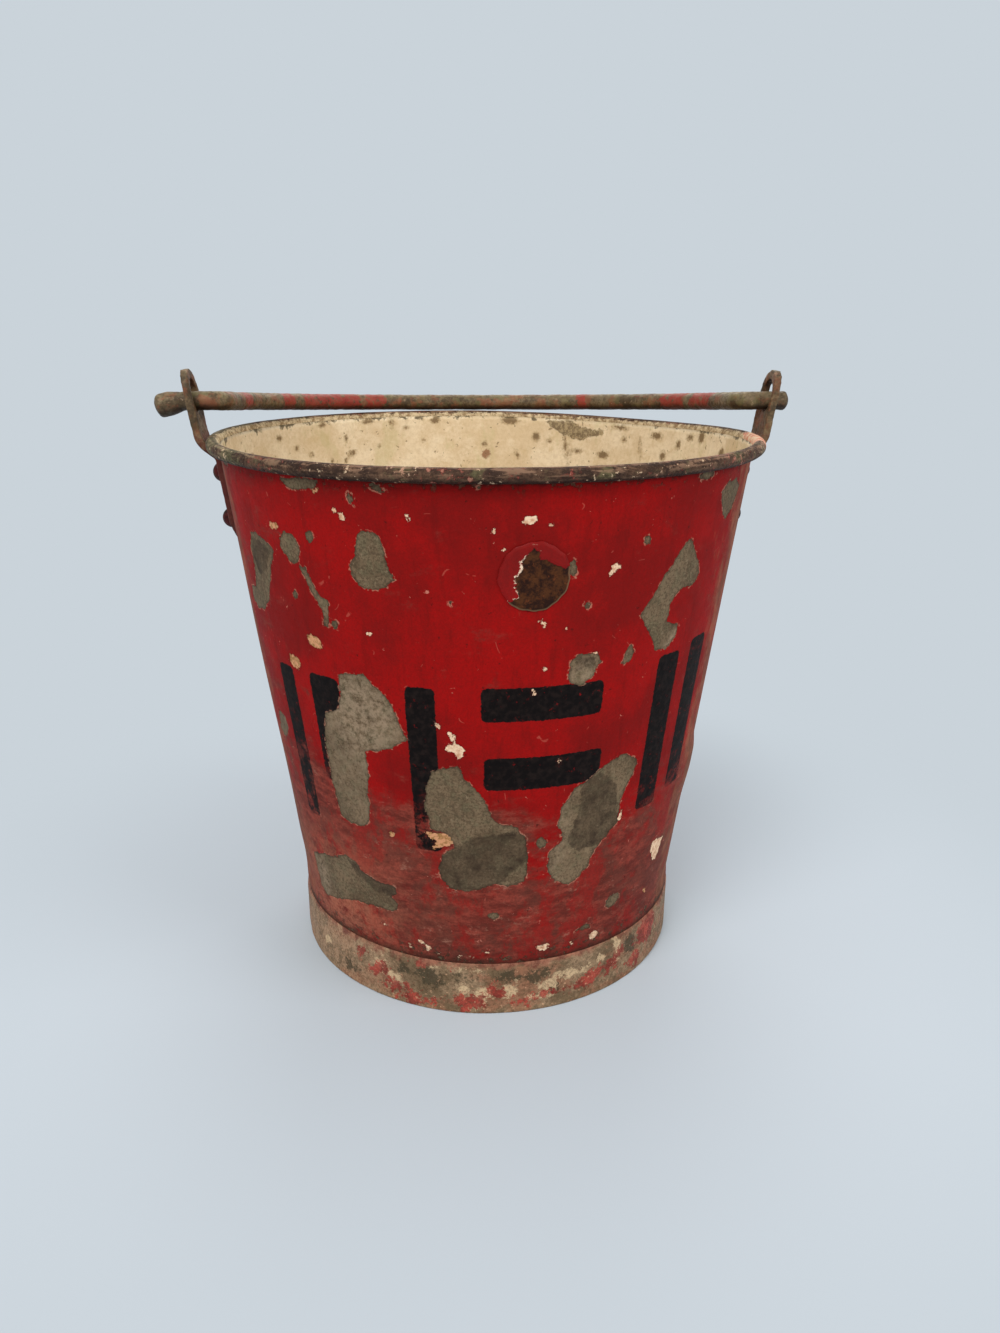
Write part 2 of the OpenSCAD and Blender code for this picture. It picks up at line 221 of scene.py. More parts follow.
# Worn marks of a plain stencil, as direction from and to, height from and to. The marks are
# bars only and spell nothing.
STENCIL_BARS = [
    (-148, -142, 100, 186), (-136, -127, 128, 187), (-111, -104.4, 100, 189.5),
    (-95, -68.5, 173, 190.5), (-94.4, -67, 136, 154), (-53.8, -46.4, 110, 196),
    (-41.8, -34.2, 114, 199),
]

# The paint on the disc has gone down to rust inside this outline
DISC_RUST = [
    (-85.4, 256.5), (-84.4, 254), (-84.2, 250.8), (-83, 250.4), (-82, 248.8), (-79.5, 246.6),
    (-77, 248.5), (-74, 240), (-78, 224), (-88, 222), (-91.4, 229.4), (-89.2, 232.2),
    (-87.8, 233.6), (-88.4, 239), (-88.6, 242.4), (-87.2, 246.8), (-87.6, 250), (-86.4, 253.4)]

# Inside, spots of stain and of rust in the cream paint, and the outline of a bare patch
INSIDE_SPOTS = [
    (127, 276, 1.4, 1.8), (125.7, 266.4, 3.4, 1.7, -10), (127.8, 261.8, 1.5, 1.6),
    (132.2, 262.6, 1.3, 1.5), (109, 280.4, 1.8, 1), (113, 284, 1.6, 3), (72.4, 275.2, 2.6, 3),
    (68.6, 273, 1.9, 1.6), (86.8, 269.6, 1.9, 1.8), (77.6, 263.4, 1.6, 2.8, -15),
    (60.2, 267.8, 2.6, 1.6), (52.4, 266.6, 4, 2.4), (46.4, 278, 1.9, 1.8), (41, 273, 1, 5.5, -8),
    (36, 282, 5, 2), (19.4, 284, 3, 3.6), (80, 285.6, 6, 2.6), (144, 273, 2, 1.4),
    (163, 271, 5, 3, 20), (158, 262, 2.6, 3), (100.6, 285.4, 3, 2.4), (134, 285.6, 3, 2.2),
    (120, 286, 4, 2), (9, 276, 3, 4), (64, 272, 1.2, 6), (62.6, 265, 1, 5), (-40, 252, 3, 2),
    (-120, 248, 3, 3), (150, 280, 2.4, 1.8), (139, 268, 2, 1.4), (117, 270, 1, 1),
    (104, 272, 1.2, 1), (28, 278, 2, 3), (33, 270, 2.4, 3), (24, 283, 3, 2), (48, 285, 5, 1.6)]
INSIDE_RUST = [(86.4, 263.2, 3, 3), (163, 272, 4.6, 2.8, 20)]
INSIDE_PATCH = [
    (70.4, 286), (67, 281), (64.8, 277.6), (61.5, 275.4), (58.6, 275), (57, 277.4),
    (52.6, 280), (53, 283), (57, 282.4), (60.8, 284.6), (62.6, 287)]

# Spots on the foot ring, which the material tears into ragged marks
FOOT_RED = [
    (-127, 17, 6, 4, 40), (-121, 8, 9, 4, 10), (-115, 4, 7, 3), (-133, 23, 5, 3, 30),
    (-99, 7, 8, 5), (-91, 12, 5, 5), (-84, 6, 6, 3), (-73, 9, 6, 3), (-63, 12, 8, 4, 20),
    (-54, 16, 7, 5, 25), (-106, 27, 8, 1.4), (-46, 8, 8, 4, 10), (-38, 22, 12, 9), (12, 10, 14, 5),
    (58, 18, 16, 6, 10), (101, 8, 14, 5), (140, 20, 14, 6, -10), (176, 9, 12, 5)]
FOOT_CREAM = [
    (-126, 20, 5, 4, 40), (-121, 13, 4, 4), (-100, 15, 4, 4), (-95, 10, 5, 6), (-86, 14, 5, 4),
    (-76, 16, 7, 2.4, 10), (-68, 18, 7, 3, 15), (-61, 20, 7, 3, 15), (-52, 23, 3, 6, 10),
    (-149, 15, 3, 3), (-80, 8, 6, 2), (-102, 27, 5, 1.2), (35, 14, 12, 4, 5), (82, 20, 10, 4),
    (123, 10, 10, 4), (160, 17, 9, 5)]
FOOT_DARK = [
    (-110, 20, 9, 5), (-80, 21, 7, 5), (-74, 12, 5, 4), (-88, 22, 7, 4), (-47, 20, 5, 6),
    (-118, 22, 4, 3), (-100, 21, 7, 3), (-138, 8, 5, 3), (-5, 12, 12, 6), (70, 8, 12, 5),
    (112, 20, 12, 5), (150, 8, 10, 4)]

# Red paint left on the bail: from and to along its arch, in degrees from the right-hand end
BAIL_RED = [(10, 20), (23, 32), (56.5, 60), (116, 122), (124, 142.5), (146, 151), (166, 171)]

# Soft marks: direction, width in degrees, height, half its rise in mm, and strength. First the
# zinc in the chips that was bared last and is still bright, and in places a painted highlight
BRIGHT_ZINC = [(-122, 6, 172, 13, 1.3), (-124, 9, 140, 30, 0.45), (-147, 2.6, 60, 10, 1.2),
            (-73, 3, 195, 5, 0.7), (-76, 2, 110, 40, 0.5)]
# Dents and bulges in the wall, whose strength is how far they stand out in mm
DENTS = [(-98, 10, 118, 22, -1.1), (-68, 9, 108, 30, -0.9), (-128, 7, 66, 12, -0.8),
         (-150, 8, 172, 26, 0.7), (-172, 14, 95, 40, -1.2), (-160, 10, 52, 9, -0.9),
         (118, 10, 128, 24, -1.8), (12, 9, 96, 18, -1.4)]


# ---------------------------------------------------------------- numbers on meshes
def smooth(value, low, high):
    """0 below low, 1 above high, smooth between."""
    t = np.clip((value - low) / (high - low), 0.0, 1.0)
    return t * t * (3 - 2 * t)


def bell(value, centre, width):
    """A smooth hump, 1 at its centre and falling away to both sides."""
    return np.exp(-0.5 * ((value - centre) / width) ** 2)


def turn_from(angle, centre):
    """Degrees from a direction, between -180 and 180."""
    return (angle - centre + 180.0) % 360.0 - 180.0


def near(angle, centre, width):
    """A smooth hump round a direction, with its width in degrees."""
    return bell(turn_from(angle, centre), 0, width)


def soft_marks(angle, z, marks):
    """The strengths of soft marks, added up."""
    return sum(strength * near(angle, at, width) * bell(z, height, rise)
               for at, width, height, rise, strength in marks)


def outline_depth(angle, z, outline):
    """Signed distance in mm into an outline given in degrees and mm, positive inside it."""
    middle = sum(a for a, _ in outline) / len(outline)
    scale = math.radians(1) * wall_radius(sum(h for _, h in outline) / len(outline))
    x = turn_from(angle, middle) * scale
    points = [(turn_from(a, middle) * scale, h) for a, h in outline]
    nearest = np.full(x.shape, 1e9)
    inside = np.zeros(x.shape, bool)
    for (x0, z0), (x1, z1) in zip(points, points[1:] + points[:1]):
        run, rise = x1 - x0, z1 - z0
        along = np.clip(((x - x0) * run + (z - z0) * rise) / (run ** 2 + rise ** 2), 0, 1)
        nearest = np.minimum(nearest, np.hypot(x - x0 - along * run, z - z0 - along * rise))
        inside ^= ((z0 > z) != (z1 > z)) & (x < run * (z - z0) / (rise + 1e-12) + x0)
    return np.where(inside, nearest, -nearest)


def spot_depth(angle, z, spot):
    """Roughly the signed distance in mm into an oval spot, positive inside it."""
    at, height, half_w, half_h, *tilt = spot
    x = turn_from(angle, at) * math.radians(1) * wall_radius(height)
    y = z - height
    lean = math.radians(sum(tilt))
    c, s = math.cos(lean), math.sin(lean)
    u = (x * c + y * s) / half_w
    v = (y * c - x * s) / half_h
    return (1 - np.hypot(u, v)) * min(half_w, half_h)


def bar_depth(angle, z, bar):
    """Signed distance in mm into an upright or level bar with round corners."""
    a0, a1, z0, z1 = bar
    scale = math.radians(1) * wall_radius((z0 + z1) / 2)
    corner = 3.0
    x = np.abs(turn_from(angle, (a0 + a1) / 2)) * scale - (a1 - a0) / 2 * scale + corner
    y = np.abs(z - (z0 + z1) / 2) - (z1 - z0) / 2 + corner
    past_corner = np.hypot(np.maximum(x, 0), np.maximum(y, 0))
    return corner - past_corner - np.minimum(np.maximum(x, y), 0)


def deepest(angle, z, depth_of, marks):
    """The depth inside the nearest of the marks, and -12 mm where none is near."""
    depth = np.full(angle.shape, -12.0)
    for mark in marks:
        depth = np.maximum(depth, depth_of(angle, z, mark))
    return depth


def wave(angle, z, seed):
    """Slow, smooth unevenness between about -1 and 1, the same on every run."""
    a = np.radians(angle)
    total = np.zeros(angle.shape)
    for k, (turns, rise) in enumerate([(2, 0.011), (3, 0.017), (5, 0.008), (7, 0.023), (4, 0.031)]):
        total += np.sin(turns * a + rise * z * (1 if k % 2 else -1) + seed * (k + 1.7))
    return total / 3.0


def rim_drop(angle, z):
    """How far the knocked rim lies below its true level, fading out down the wall."""
    drop = 1.1 * near(angle, -132, 26) + 2.2 * near(angle, 42, 24) + 0.5 * near(angle, -60, 20)
    return drop * smooth(z, 215, 285)


def foot_oval(angle):
    """How far the knocked foot ring stands out from a true circle, in mm."""
    return (1.9 * near(angle, -12, 22) + 0.5 * near(angle, -172, 20)
            - 1.3 * near(angle, -92, 26) - 1.2 * near(angle, -132, 16))


def dent(angle, z):
    """How far the wall stands out from a true cone, in mm."""
    out = 0.3 * wave(angle, z, 1.3) + soft_marks(angle, z, DENTS)
    out += 1.5 * near(angle, -17, 8) * smooth(z, 88, 112) * (1 - smooth(z, 118, 130))
    out += 0.6 * near(angle, -12, 16) * (1 - smooth(z, 60, 190))
    level = smooth(z, FOOT_TOP + 1, FOOT_TOP + 16) * (1 - smooth(z, 268, 284))
    ears = 1 - smooth(z, 215, 232) * (1 - smooth(np.abs(turn_from(2 * angle, 0)), 18, 34))
    disc = smooth(np.hypot(turn_from(angle, DISC_ANGLE) * DISC_MM_PER_DEGREE, z - DISC_Z), 17, 34)
    foot = foot_oval(angle) * smooth(z, 14, 20) * (1 - smooth(z, FOOT_TOP + 1, FOOT_TOP + 14))
    return out * level * ears * disc + foot


# ---------------------------------------------------------------- meshes
def in_scene(name, data):
    """A new object for a mesh, a light or a camera, put in the scene."""
    made = bpy.data.objects.new(name, data)
    bpy.context.scene.collection.objects.link(made)
    return made


def cad_piece(node):
    """The CAD's own object for a node of the frame."""
    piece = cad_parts[node]
    return bpy.data.objects[piece] if isinstance(piece, str) else piece


def shade_smooth(mesh):
    """Shades all faces of a mesh smooth, and brings it up to date."""
    mesh.polygons.foreach_set("use_smooth", np.ones(len(mesh.polygons), bool))
    mesh.update()


def mesh_object(name, vertices_mm, faces, body):
    """A smooth-shaded piece that rides a body of the frame."""
    mesh = bpy.data.meshes.new(name)
    mesh.from_pydata((np.asarray(vertices_mm) * MM).tolist(), [], faces)
    shade_smooth(mesh)
    piece = in_scene(name, mesh)
    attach(piece, body)
    return piece


def set_numbers(piece, name, values):
    """Stores one number at each vertex, for the material to read by its name."""
    layer = piece.data.attributes.new(name, "FLOAT", "POINT")
    layer.data.foreach_set("value", np.asarray(values, np.float32).ravel())


def ring_faces(rows, columns):
    """Quads of a closed section swept right round."""
    i, j = np.meshgrid(np.arange(rows), np.arange(columns), indexing="ij")
    i2 = (i + 1) % rows
    j2 = (j + 1) % columns
    quads = np.stack([i * columns + j, i * columns + j2, i2 * columns + j2, i2 * columns + j], -1)
    return quads.reshape(-1, 4).tolist()


def turned(name, section, angles, moved):
    """A closed section of (radius, height) pairs turned about Z, on the bucket. moved gives how
    far each point is shifted outwards and up. Gives the piece, and each vertex's direction and
    its height before the shift."""
    section = np.asarray(section, float)
    a, r = np.meshgrid(angles, section[:, 0])
    _, z = np.meshgrid(angles, section[:, 1])
    out, up = moved(a, r, z)
    r = r + out
    t = np.radians(a)
    points = np.stack([r * np.cos(t), r * np.sin(t), z + up], -1).reshape(-1, 3)
    piece = mesh_object(name, points, ring_faces(len(section), len(angles)), "bucket")
    return piece, a.ravel(), z.ravel()


# ---------------------------------------------------------------- materials
def paint(red, green, blue):
    """A colour as seen on screen, 0 to 255, as the shader's linear value."""
    return tuple((c / 255 / 12.92) if c <= 10 else ((c / 255 + 0.055) / 1.055) ** 2.4
                 for c in (red, green, blue)) + (1.0,)


def feed(tree, value, socket):
    """Sets an input to a value, or links it to the output given in the value's place."""
    if isinstance(value, bpy.types.NodeSocket):
        tree.links.new(value, socket)
    else:
        socket.default_value = value


def new_node(tree, kind, inputs):
    """Adds a node, with its inputs given by name or number."""
    node = tree.nodes.new(kind)
    for key, value in inputs.items():
        feed(tree, value, node.inputs[key])
    return node


class Shading:
    """One material under construction. The methods from stretched to bump add nodes, and give
    the last one's output."""

    def __init__(self, name):
        self.material = bpy.data.materials.new(name)
        self.material.use_nodes = True
        self.tree = self.material.node_tree
        self.surface = self.tree.nodes["Principled BSDF"]
        self.place = self.tree.nodes.new("ShaderNodeTexCoord").outputs["Object"]

    def node(self, kind, inputs):
        return new_node(self.tree, kind, inputs)

    def put(self, value, socket):
        feed(self.tree, value, socket)

    def stretched(self, x, y, z):
        """Places for a noise that is scaled up or down along each axis."""
        node = self.node("ShaderNodeMapping", {"Vector": self.place, "Scale": (x, y, z)})
        return node.outputs["Vector"]

    def noise(self, size_mm, detail=4, rough=0.55, place=None):
        """Clouds of about a size, between 0 and 1."""
        inputs = {"Vector": place or self.place, "Scale": 1000.0 / size_mm, "Detail": detail,
                  "Roughness": rough}
        return self.node("ShaderNodeTexNoise", inputs).outputs["Fac"]

    def patches(self, low, high, *clouds):
        """Clouds cut off into patches: 0 where they are below low, 1 where they are above high."""
        return self.step(self.noise(*clouds), low, high)

    def spread(self, value, width):
        """A noise between 0 and 1 as an offset to either side of 0."""
        return self.times(self.calc("SUBTRACT", value, 0.5), width)

    def number(self, name):
        """The number stored at the vertices under a name."""
        node = self.tree.nodes.new("ShaderNodeAttribute")
        node.attribute_name = name
        return node.outputs["Fac"]

    def calc(self, operation, a, b=0.0):
        """A sum or another operation on one or two numbers."""
        node = self.tree.nodes.new("ShaderNodeMath")
        node.operation = operation
        self.put(a, node.inputs[0])
        self.put(b, node.inputs[1])
        return node.outputs[0]

    def times(self, a, b):
        return self.calc("MULTIPLY", a, b)

    def add(self, a, b):
        return self.calc("ADD", a, b)

    def step(self, value, low, high, out_low=0.0, out_high=1.0):
        """A smooth step between two values, up or down."""
        inputs = {"Value": value, "From Min": low, "From Max": high, "To Min": out_low,
                  "To Max": out_high}
        node = self.node("ShaderNodeMapRange", inputs)
        node.interpolation_type = "SMOOTHSTEP"
        return node.outputs["Result"]

    def mix(self, amount, under, over):
        """One colour over another. amount runs from 0 to 1."""
        node = self.tree.nodes.new("ShaderNodeMix")
        node.data_type = "RGBA"
        self.put(amount, node.inputs[0])
        self.put(under, node.inputs[6])
        self.put(over, node.inputs[7])
        return node.outputs[2]

    def blend(self, amount, one, other):
        """Between two screen colours."""
        return self.mix(amount, paint(*one), paint(*other))

    def over(self, under, where, amount, colour):
        """A screen colour laid over what is there, where the mask has it."""
        return self.mix(self.times(where, amount), under, paint(*colour))

    def level(self, amount, low, high):
        """Between two numbers."""
        return self.node("ShaderNodeMix", {0: amount, 2: low, 3: high}).outputs[0]

    def axis(self, letter):
        return self.node("ShaderNodeSeparateXYZ", {0: self.place}).outputs[letter]

    def height(self):
        """Height above the floor in mm."""
        return self.times(self.axis("Z"), 1000.0)

    def facing(self, letter):
        """How far the surface faces along an axis, between -1 and 1."""
        coords = self.node("ShaderNodeTexCoord", {})
        return self.node("ShaderNodeSeparateXYZ", {0: coords.outputs["Normal"]}).outputs[letter]

    def bump(self, height, depth_mm, under=None):
        """Relief of a depth, on top of an earlier relief if one is given."""
        inputs = {"Strength": 1.0, "Distance": depth_mm * MM, "Height": height}
        if under:
            inputs["Normal"] = under
        return self.node("ShaderNodeBump", inputs).outputs["Normal"]

    def finish(self, colour, roughness, normal, metallic=0.0, specular=0.25, sheen=0.0):
        """Joins the colour and the rest to the shader, and gives the material."""
        self.put(colour, self.surface.inputs["Base Color"])
        self.put(roughness, self.surface.inputs["Roughness"])
        self.put(normal, self.surface.inputs["Normal"])
        self.put(metallic, self.surface.inputs["Metallic"])
        self.surface.inputs["Sheen Weight"].default_value = sheen
        self.surface.inputs["Sheen Roughness"].default_value = 0.5
        self.surface.inputs["Sheen Tint"].default_value = paint(214, 150, 120)
        self.surface.inputs["Specular IOR Level"].default_value = specular
        return self.material


def dull_zinc(s, light=(128, 107, 83), dark=(102, 84, 64)):
    """The grey-brown of old zinc, clouded and finely mottled."""
    cloud = s.patches(0.38, 0.62, 17, 7, 0.7)
    base = s.blend(cloud, dark, light)
    green = s.patches(0.46, 0.62, 7, 6, 0.75)
    base = s.over(base, green, 0.5, (104, 98, 74))
    pale = s.patches(0.56, 0.7, 1.9, 3, 0.7)
    base = s.over(base, pale, 0.45, (158, 138, 110))
    fine = s.patches(0.46, 0.6, 1.3, 3, 0.75)
    return s.over(base, fine, 0.5, (62, 50, 38))


def wall_paint():
    """Red top coat over cream over zinc, faded, dusty and darkened towards the foot, with painted
    shade over the foot ring and under the bead.
    """
    s = Shading("red_paint_worn")
    high = s.height()
    fine_edge = s.spread(s.noise(1.7, 4, 0.65), 2.0)
    zinc_edge = s.add(s.spread(s.noise(7, 6, 0.62), 5.0), fine_edge)
    zinc_depth = s.add(s.number("zinc"), zinc_edge)
    cream_edge = s.add(s.spread(s.noise(3.6, 5, 0.7), 5.5), fine_edge)
    cream_depth = s.add(s.number("cream"), cream_edge)
    black_depth = s.add(s.number("stencil"), fine_edge)

    # the red coat, faded, dusty with a painted sheen at its edges, and scratched, with the worn
    # bars on it
    fade_edge = s.spread(s.noise(16, 7, 0.72, s.stretched(0.7, 0.7, 1.3)), 2.6)
    is_faded = s.step(s.add(s.number("fade"), fade_edge), 0.2, 0.85)
    coat = s.mix(s.times(is_faded, 0.94), red_coat(s), faded_coat(s))
    # a tan strip of dust, and on the wall's edges as seen from the front a painted grazing sheen
    dust_and_sheen_noise = s.noise(9, 7, 0.75, s.stretched(1, 1, 0.4))
    dust_and_sheen_mask = s.step(s.add(s.number("side_dust_and_sheen"), s.spread(dust_and_sheen_noise, 2.8)), 0.4, 1.15)
    dust_and_sheen = s.blend(s.patches(0.42, 0.6, 12, 5, 0.7), (112, 72, 52), (146, 94, 68))
    coat = s.mix(s.times(dust_and_sheen_mask, 0.8), coat, dust_and_sheen)
    coat = small_marks(s, coat)
    thin = s.patches(0.28, 0.4, 4.2, 6, 0.78)
    rubbed = s.times(is_faded, s.patches(0.46, 0.6, 9, 6, 0.75))
    black = s.times(s.step(black_depth, -0.1, 0.35), thin)
    black = s.times(black, s.calc("SUBTRACT", 1.0, s.times(rubbed, 0.75)))
    coat = s.mix(black, coat, s.blend(s.patches(0.4, 0.7, 3, 4), (17, 13, 13), (32, 24, 22)))

    # painted shade in the corner over the foot ring and under the bead
    foot_shade = s.add(high, s.times(s.noise(5, 5, 0.7), 7.0))
    foot_shade = s.step(foot_shade, FOOT_TOP + 9, FOOT_TOP + 3)
    bead_shade = s.step(s.add(high, s.spread(s.noise(6, 4), 5.0)), 281.5, 284)
    coat = s.over(coat, foot_shade, 0.85, (58, 34, 26))
    coat = s.over(coat, bead_shade, 0.85, (42, 18, 15))

    # what shows where the coats are lost, with the torn edge of the paint round it
    cream = s.step(cream_depth, -0.12, 0.12)
    cream_colour = s.blend(s.patches(0.38, 0.66, 2.2, 4, 0.65), (238, 206, 172), (200, 150, 118))
    tan_colour = s.blend(s.patches(0.42, 0.6, 2.0, 5, 0.7), (206, 148, 108), (150, 110, 66))
    cream_colour = s.mix(s.number("tan"), cream_colour, tan_colour)
    zinc = s.step(zinc_depth, -0.1, 0.1)
    lost = s.times(s.number("scuff"), s.patches(0.55, 0.6, 4.2, 6, 0.75))
    bare = s.calc("MAXIMUM", zinc, lost)
    torn = s.times(s.step(zinc_depth, -0.8, -0.25), s.patches(0.5, 0.58, 3.4, 4, 0.6))
    coat = s.over(coat, torn, 0.55, (196, 138, 112))
    halo = s.times(s.step(cream_depth, -1.0, -0.1), 0.3)
    coat = s.mix(halo, coat, paint(70, 22, 20))
    coat = s.mix(cream, coat, cream_colour)
    colour = s.mix(bare, coat, chip_metal(s, zinc_depth))
    coat_roughness = s.level(s.noise(5, 4, 0.7), 0.5, 0.74)
    roughness = s.level(bare, coat_roughness, s.level(s.noise(9, 4), 0.54, 0.76))
    paint_height = s.calc("SUBTRACT", 1.0, s.calc("MAXIMUM", bare, s.times(cream, 0.7)))
    normal = s.bump(s.noise(14, 4, 0.55), 0.4)
    normal = s.bump(s.noise(1.2, 4, 0.65), 0.1, normal)
    normal = s.bump(paint_height, 0.45, normal)
    return s.finish(colour, roughness, normal, s.times(bare, 0.2), specular=0.05)


def red_coat(s):
    """Red paint with slow clouds, fine grain and faint runs down the wall."""
    cloud = s.patches(0.38, 0.62, 48, 5, 0.58)
    red = s.blend(cloud, (126, 17, 15), (153, 14, 13))
    run = s.patches(0.5, 0.7, 8, 5, 0.65, s.stretched(1.6, 1.6, 0.16))
    red = s.over(red, run, 0.35, (94, 16, 13))
    bloom = s.patches(0.52, 0.68, 19, 6, 0.7)
    red = s.over(red, bloom, 0.35, (168, 18, 16))
    grain = s.patches(0.4, 0.62, 1.2, 4, 0.75)
    return s.over(red, grain, 0.3, (98, 18, 15))


def faded_coat(s):
    """The same paint low on the wall, rubbed brown and pink, in smears round the bucket."""
    smear = s.patches(0.4, 0.6, 6, 7, 0.75, s.stretched(0.5, 0.5, 1.25))
    faded = s.blend(smear, (98, 42, 34), (142, 64, 52))
    brown = s.patches(0.46, 0.6, 24, 5, 0.65)
    faded = s.over(faded, brown, 0.6, (88, 54, 44))
    keeps_red = s.patches(0.5, 0.58, 30, 6, 0.72, s.stretched(1.1, 1.1, 0.6))
    faded = s.over(faded, keeps_red, 0.75, (140, 30, 26))
    chalk = s.patches(0.57, 0.68, 9, 7, 0.8, s.stretched(0.7, 0.7, 1.3))
    faded = s.over(faded, chalk, 0.55, (172, 122, 102))
    dust_noise = s.noise(11, 7, 0.75, s.stretched(0.8, 0.8, 1.2))
    dusty = s.times(s.number("dust"), s.step(dust_noise, 0.38, 0.58))
    faded = s.over(faded, dusty, 0.85, (172, 104, 80))
    grain = s.patches(0.42, 0.62, 1.5, 4, 0.75)
    return s.over(faded, grain, 0.35, (76, 38, 31))


def small_marks(s, coat):
    """Dark and pale specks and fine scratches over a coat of paint."""
    dark = s.patches(0.68, 0.74, 3.1, 3, 0.6)
    coat = s.over(coat, dark, 0.6, (44, 18, 15))
    pale = s.patches(0.7, 0.735, 4.4, 4, 0.65)
    coat = s.over(coat, pale, 0.75, (204, 130, 110))
    for size, stretch, where in ((30, (1.0, 1.0, 0.55), 0.64), (19, (0.7, 0.7, 1.2), 0.62)):
        line = s.spread(s.noise(size, 1, 0.4, s.stretched(*stretch)), 1.0)
        line = s.calc("ABSOLUTE", line)
        here = s.patches(where, where + 0.04, size / 3.1, 3, 0.6)
        scratch = s.times(s.step(line, 0.006, 0.002), here)
        coat = s.over(coat, scratch, 0.4, (188, 92, 76))
    return coat


def chip_metal(s, depth):
    """Zinc inside a chip: clouded, darker where it has long been bare, paler where bared last and
    in places as a painted highlight, shadowed at the edge.
    """
    metal = dull_zinc(s)
    pit = s.patches(0.6, 0.7, 3.2, 4, 0.7)
    metal = s.over(metal, pit, 0.5, (70, 58, 44))
    streak = s.patches(0.5, 0.7, 3.0, 4, 0.75, s.stretched(1.2, 1.2, 0.12))
    streak = s.times(streak, s.number("streaked"))
    metal = s.over(metal, streak, 0.6, (156, 134, 106))
    old_depth = s.add(s.number("old_metal"), s.spread(s.noise(6, 6, 0.75), 9.0))
    uneven = s.step(s.noise(8, 7, 0.78), 0.32, 0.6, 0.95, 0.45)
    old = s.times(s.step(old_depth, -0.9, 0.9), uneven)
    metal = s.mix(old, metal, paint(58, 46, 36))
    # pale zinc, in places a painted highlight
    pale = s.times(s.number("bright_zinc_and_highlight"), s.patches(0.4, 0.58, 3.6, 7, 0.8))
    metal = s.over(metal, pale, 0.6, (172, 148, 122))
    rim = s.step(depth, 1.3, 0.1)
    return s.over(metal, rim, 0.5, (54, 40, 32))


def cream_inside():
    """Cream paint inside, yellowed, with rust spots, stains and a bare patch."""
    s = Shading("cream_paint_worn")
    high = s.height()
    base = s.blend(s.patches(0.38, 0.62, 30, 6, 0.65), (212, 188, 150), (230, 210, 176))
    blotch = s.patches(0.52, 0.68, 8, 6, 0.75)
    base = s.over(base, blotch, 0.4, (196, 168, 120))
    mottle = s.patches(0.42, 0.62, 2.2, 5, 0.75)
    base = s.over(base, mottle, 0.3, (186, 158, 116))
    olive = s.patches(0.53, 0.66, 21, 5, 0.7, s.stretched(1.0, 1.0, 0.6))
    base = s.over(base, olive, 0.35, (186, 174, 122))
    fine_edge = s.spread(s.noise(2.4, 5, 0.75), 5.0)
    stain_depth = s.add(s.number("stain"), fine_edge)
    stain = s.step(stain_depth, -1.2, 0.9)
    core = s.step(stain_depth, 0.1, 1.0)
    base = s.over(base, stain, 0.75, (140, 114, 72))
    base = s.over(base, core, 0.6, (92, 66, 38))
    rust = s.step(s.add(s.number("rust"), fine_edge), -0.6, 0.6)
    base = s.over(base, rust, 0.8, (126, 74, 40))
    patch = s.step(s.add(s.number("patch"), s.spread(s.noise(3.2, 6, 0.75), 6.0)), -0.5, 0.5)
    patch_colour = s.blend(s.patches(0.42, 0.6, 2.6, 5, 0.75), (104, 84, 56), (160, 140, 102))
    base = s.mix(s.times(patch, 0.92), base, patch_colour)
    dots = s.patches(0.645, 0.69, 3.8, 4, 0.6)
    base = s.over(base, dots, 0.7, (112, 88, 52))
    lower = s.step(high, 255, 150)
    spot_noise = s.noise(13, 6, 0.62)
    spot_halo = s.times(s.step(spot_noise, 0.62, 0.7), lower)
    base = s.over(base, spot_halo, 0.6, (150, 108, 66))
    spot_core = s.times(s.step(spot_noise, 0.665, 0.72), lower)
    base = s.over(base, spot_core, 0.8, (92, 56, 34))
    run = s.patches(0.54, 0.68, 11, 6, 0.7, s.stretched(1.2, 1.2, 0.1))
    run = s.times(run, s.step(high, 210, 90))
    base = s.over(base, run, 0.55, (136, 94, 58))
    top_edge = s.add(s.spread(s.noise(9, 6, 0.7), 26.0), s.spread(s.noise(2.6, 4), 6.0))
    top_wear = s.step(s.add(high, top_edge), 286.5, 288.5)
    base = s.over(base, top_wear, 0.9, (88, 74, 48))
    # darker towards the bottom
    low_darkening = s.step(s.add(high, s.times(s.noise(24, 5, 0.7), 110.0)), 130, 60)
    base = s.over(base, low_darkening, 0.75, (112, 84, 56))
    normal = s.bump(s.noise(9, 5, 0.6), 0.4)
    normal = s.bump(stain, 0.15, normal)
    return s.finish(base, s.level(s.noise(6, 4), 0.45, 0.7), normal)


def base_paint():
    """Cream paint on the base, dirty, with rust in the corner."""
    s = Shading("cream_paint_base")
    cloud = s.patches(0.38, 0.62, 30, 5, 0.65)
    base = s.blend(cloud, (150, 122, 86), (196, 168, 124))
    rust = s.patches(0.5, 0.62, 16, 6, 0.75)
    base = s.over(base, rust, 0.7, (104, 68, 40))
    normal = s.bump(s.noise(6, 5, 0.65), 0.4)
    return s.finish(base, s.level(rust, 0.55, 0.8), normal)


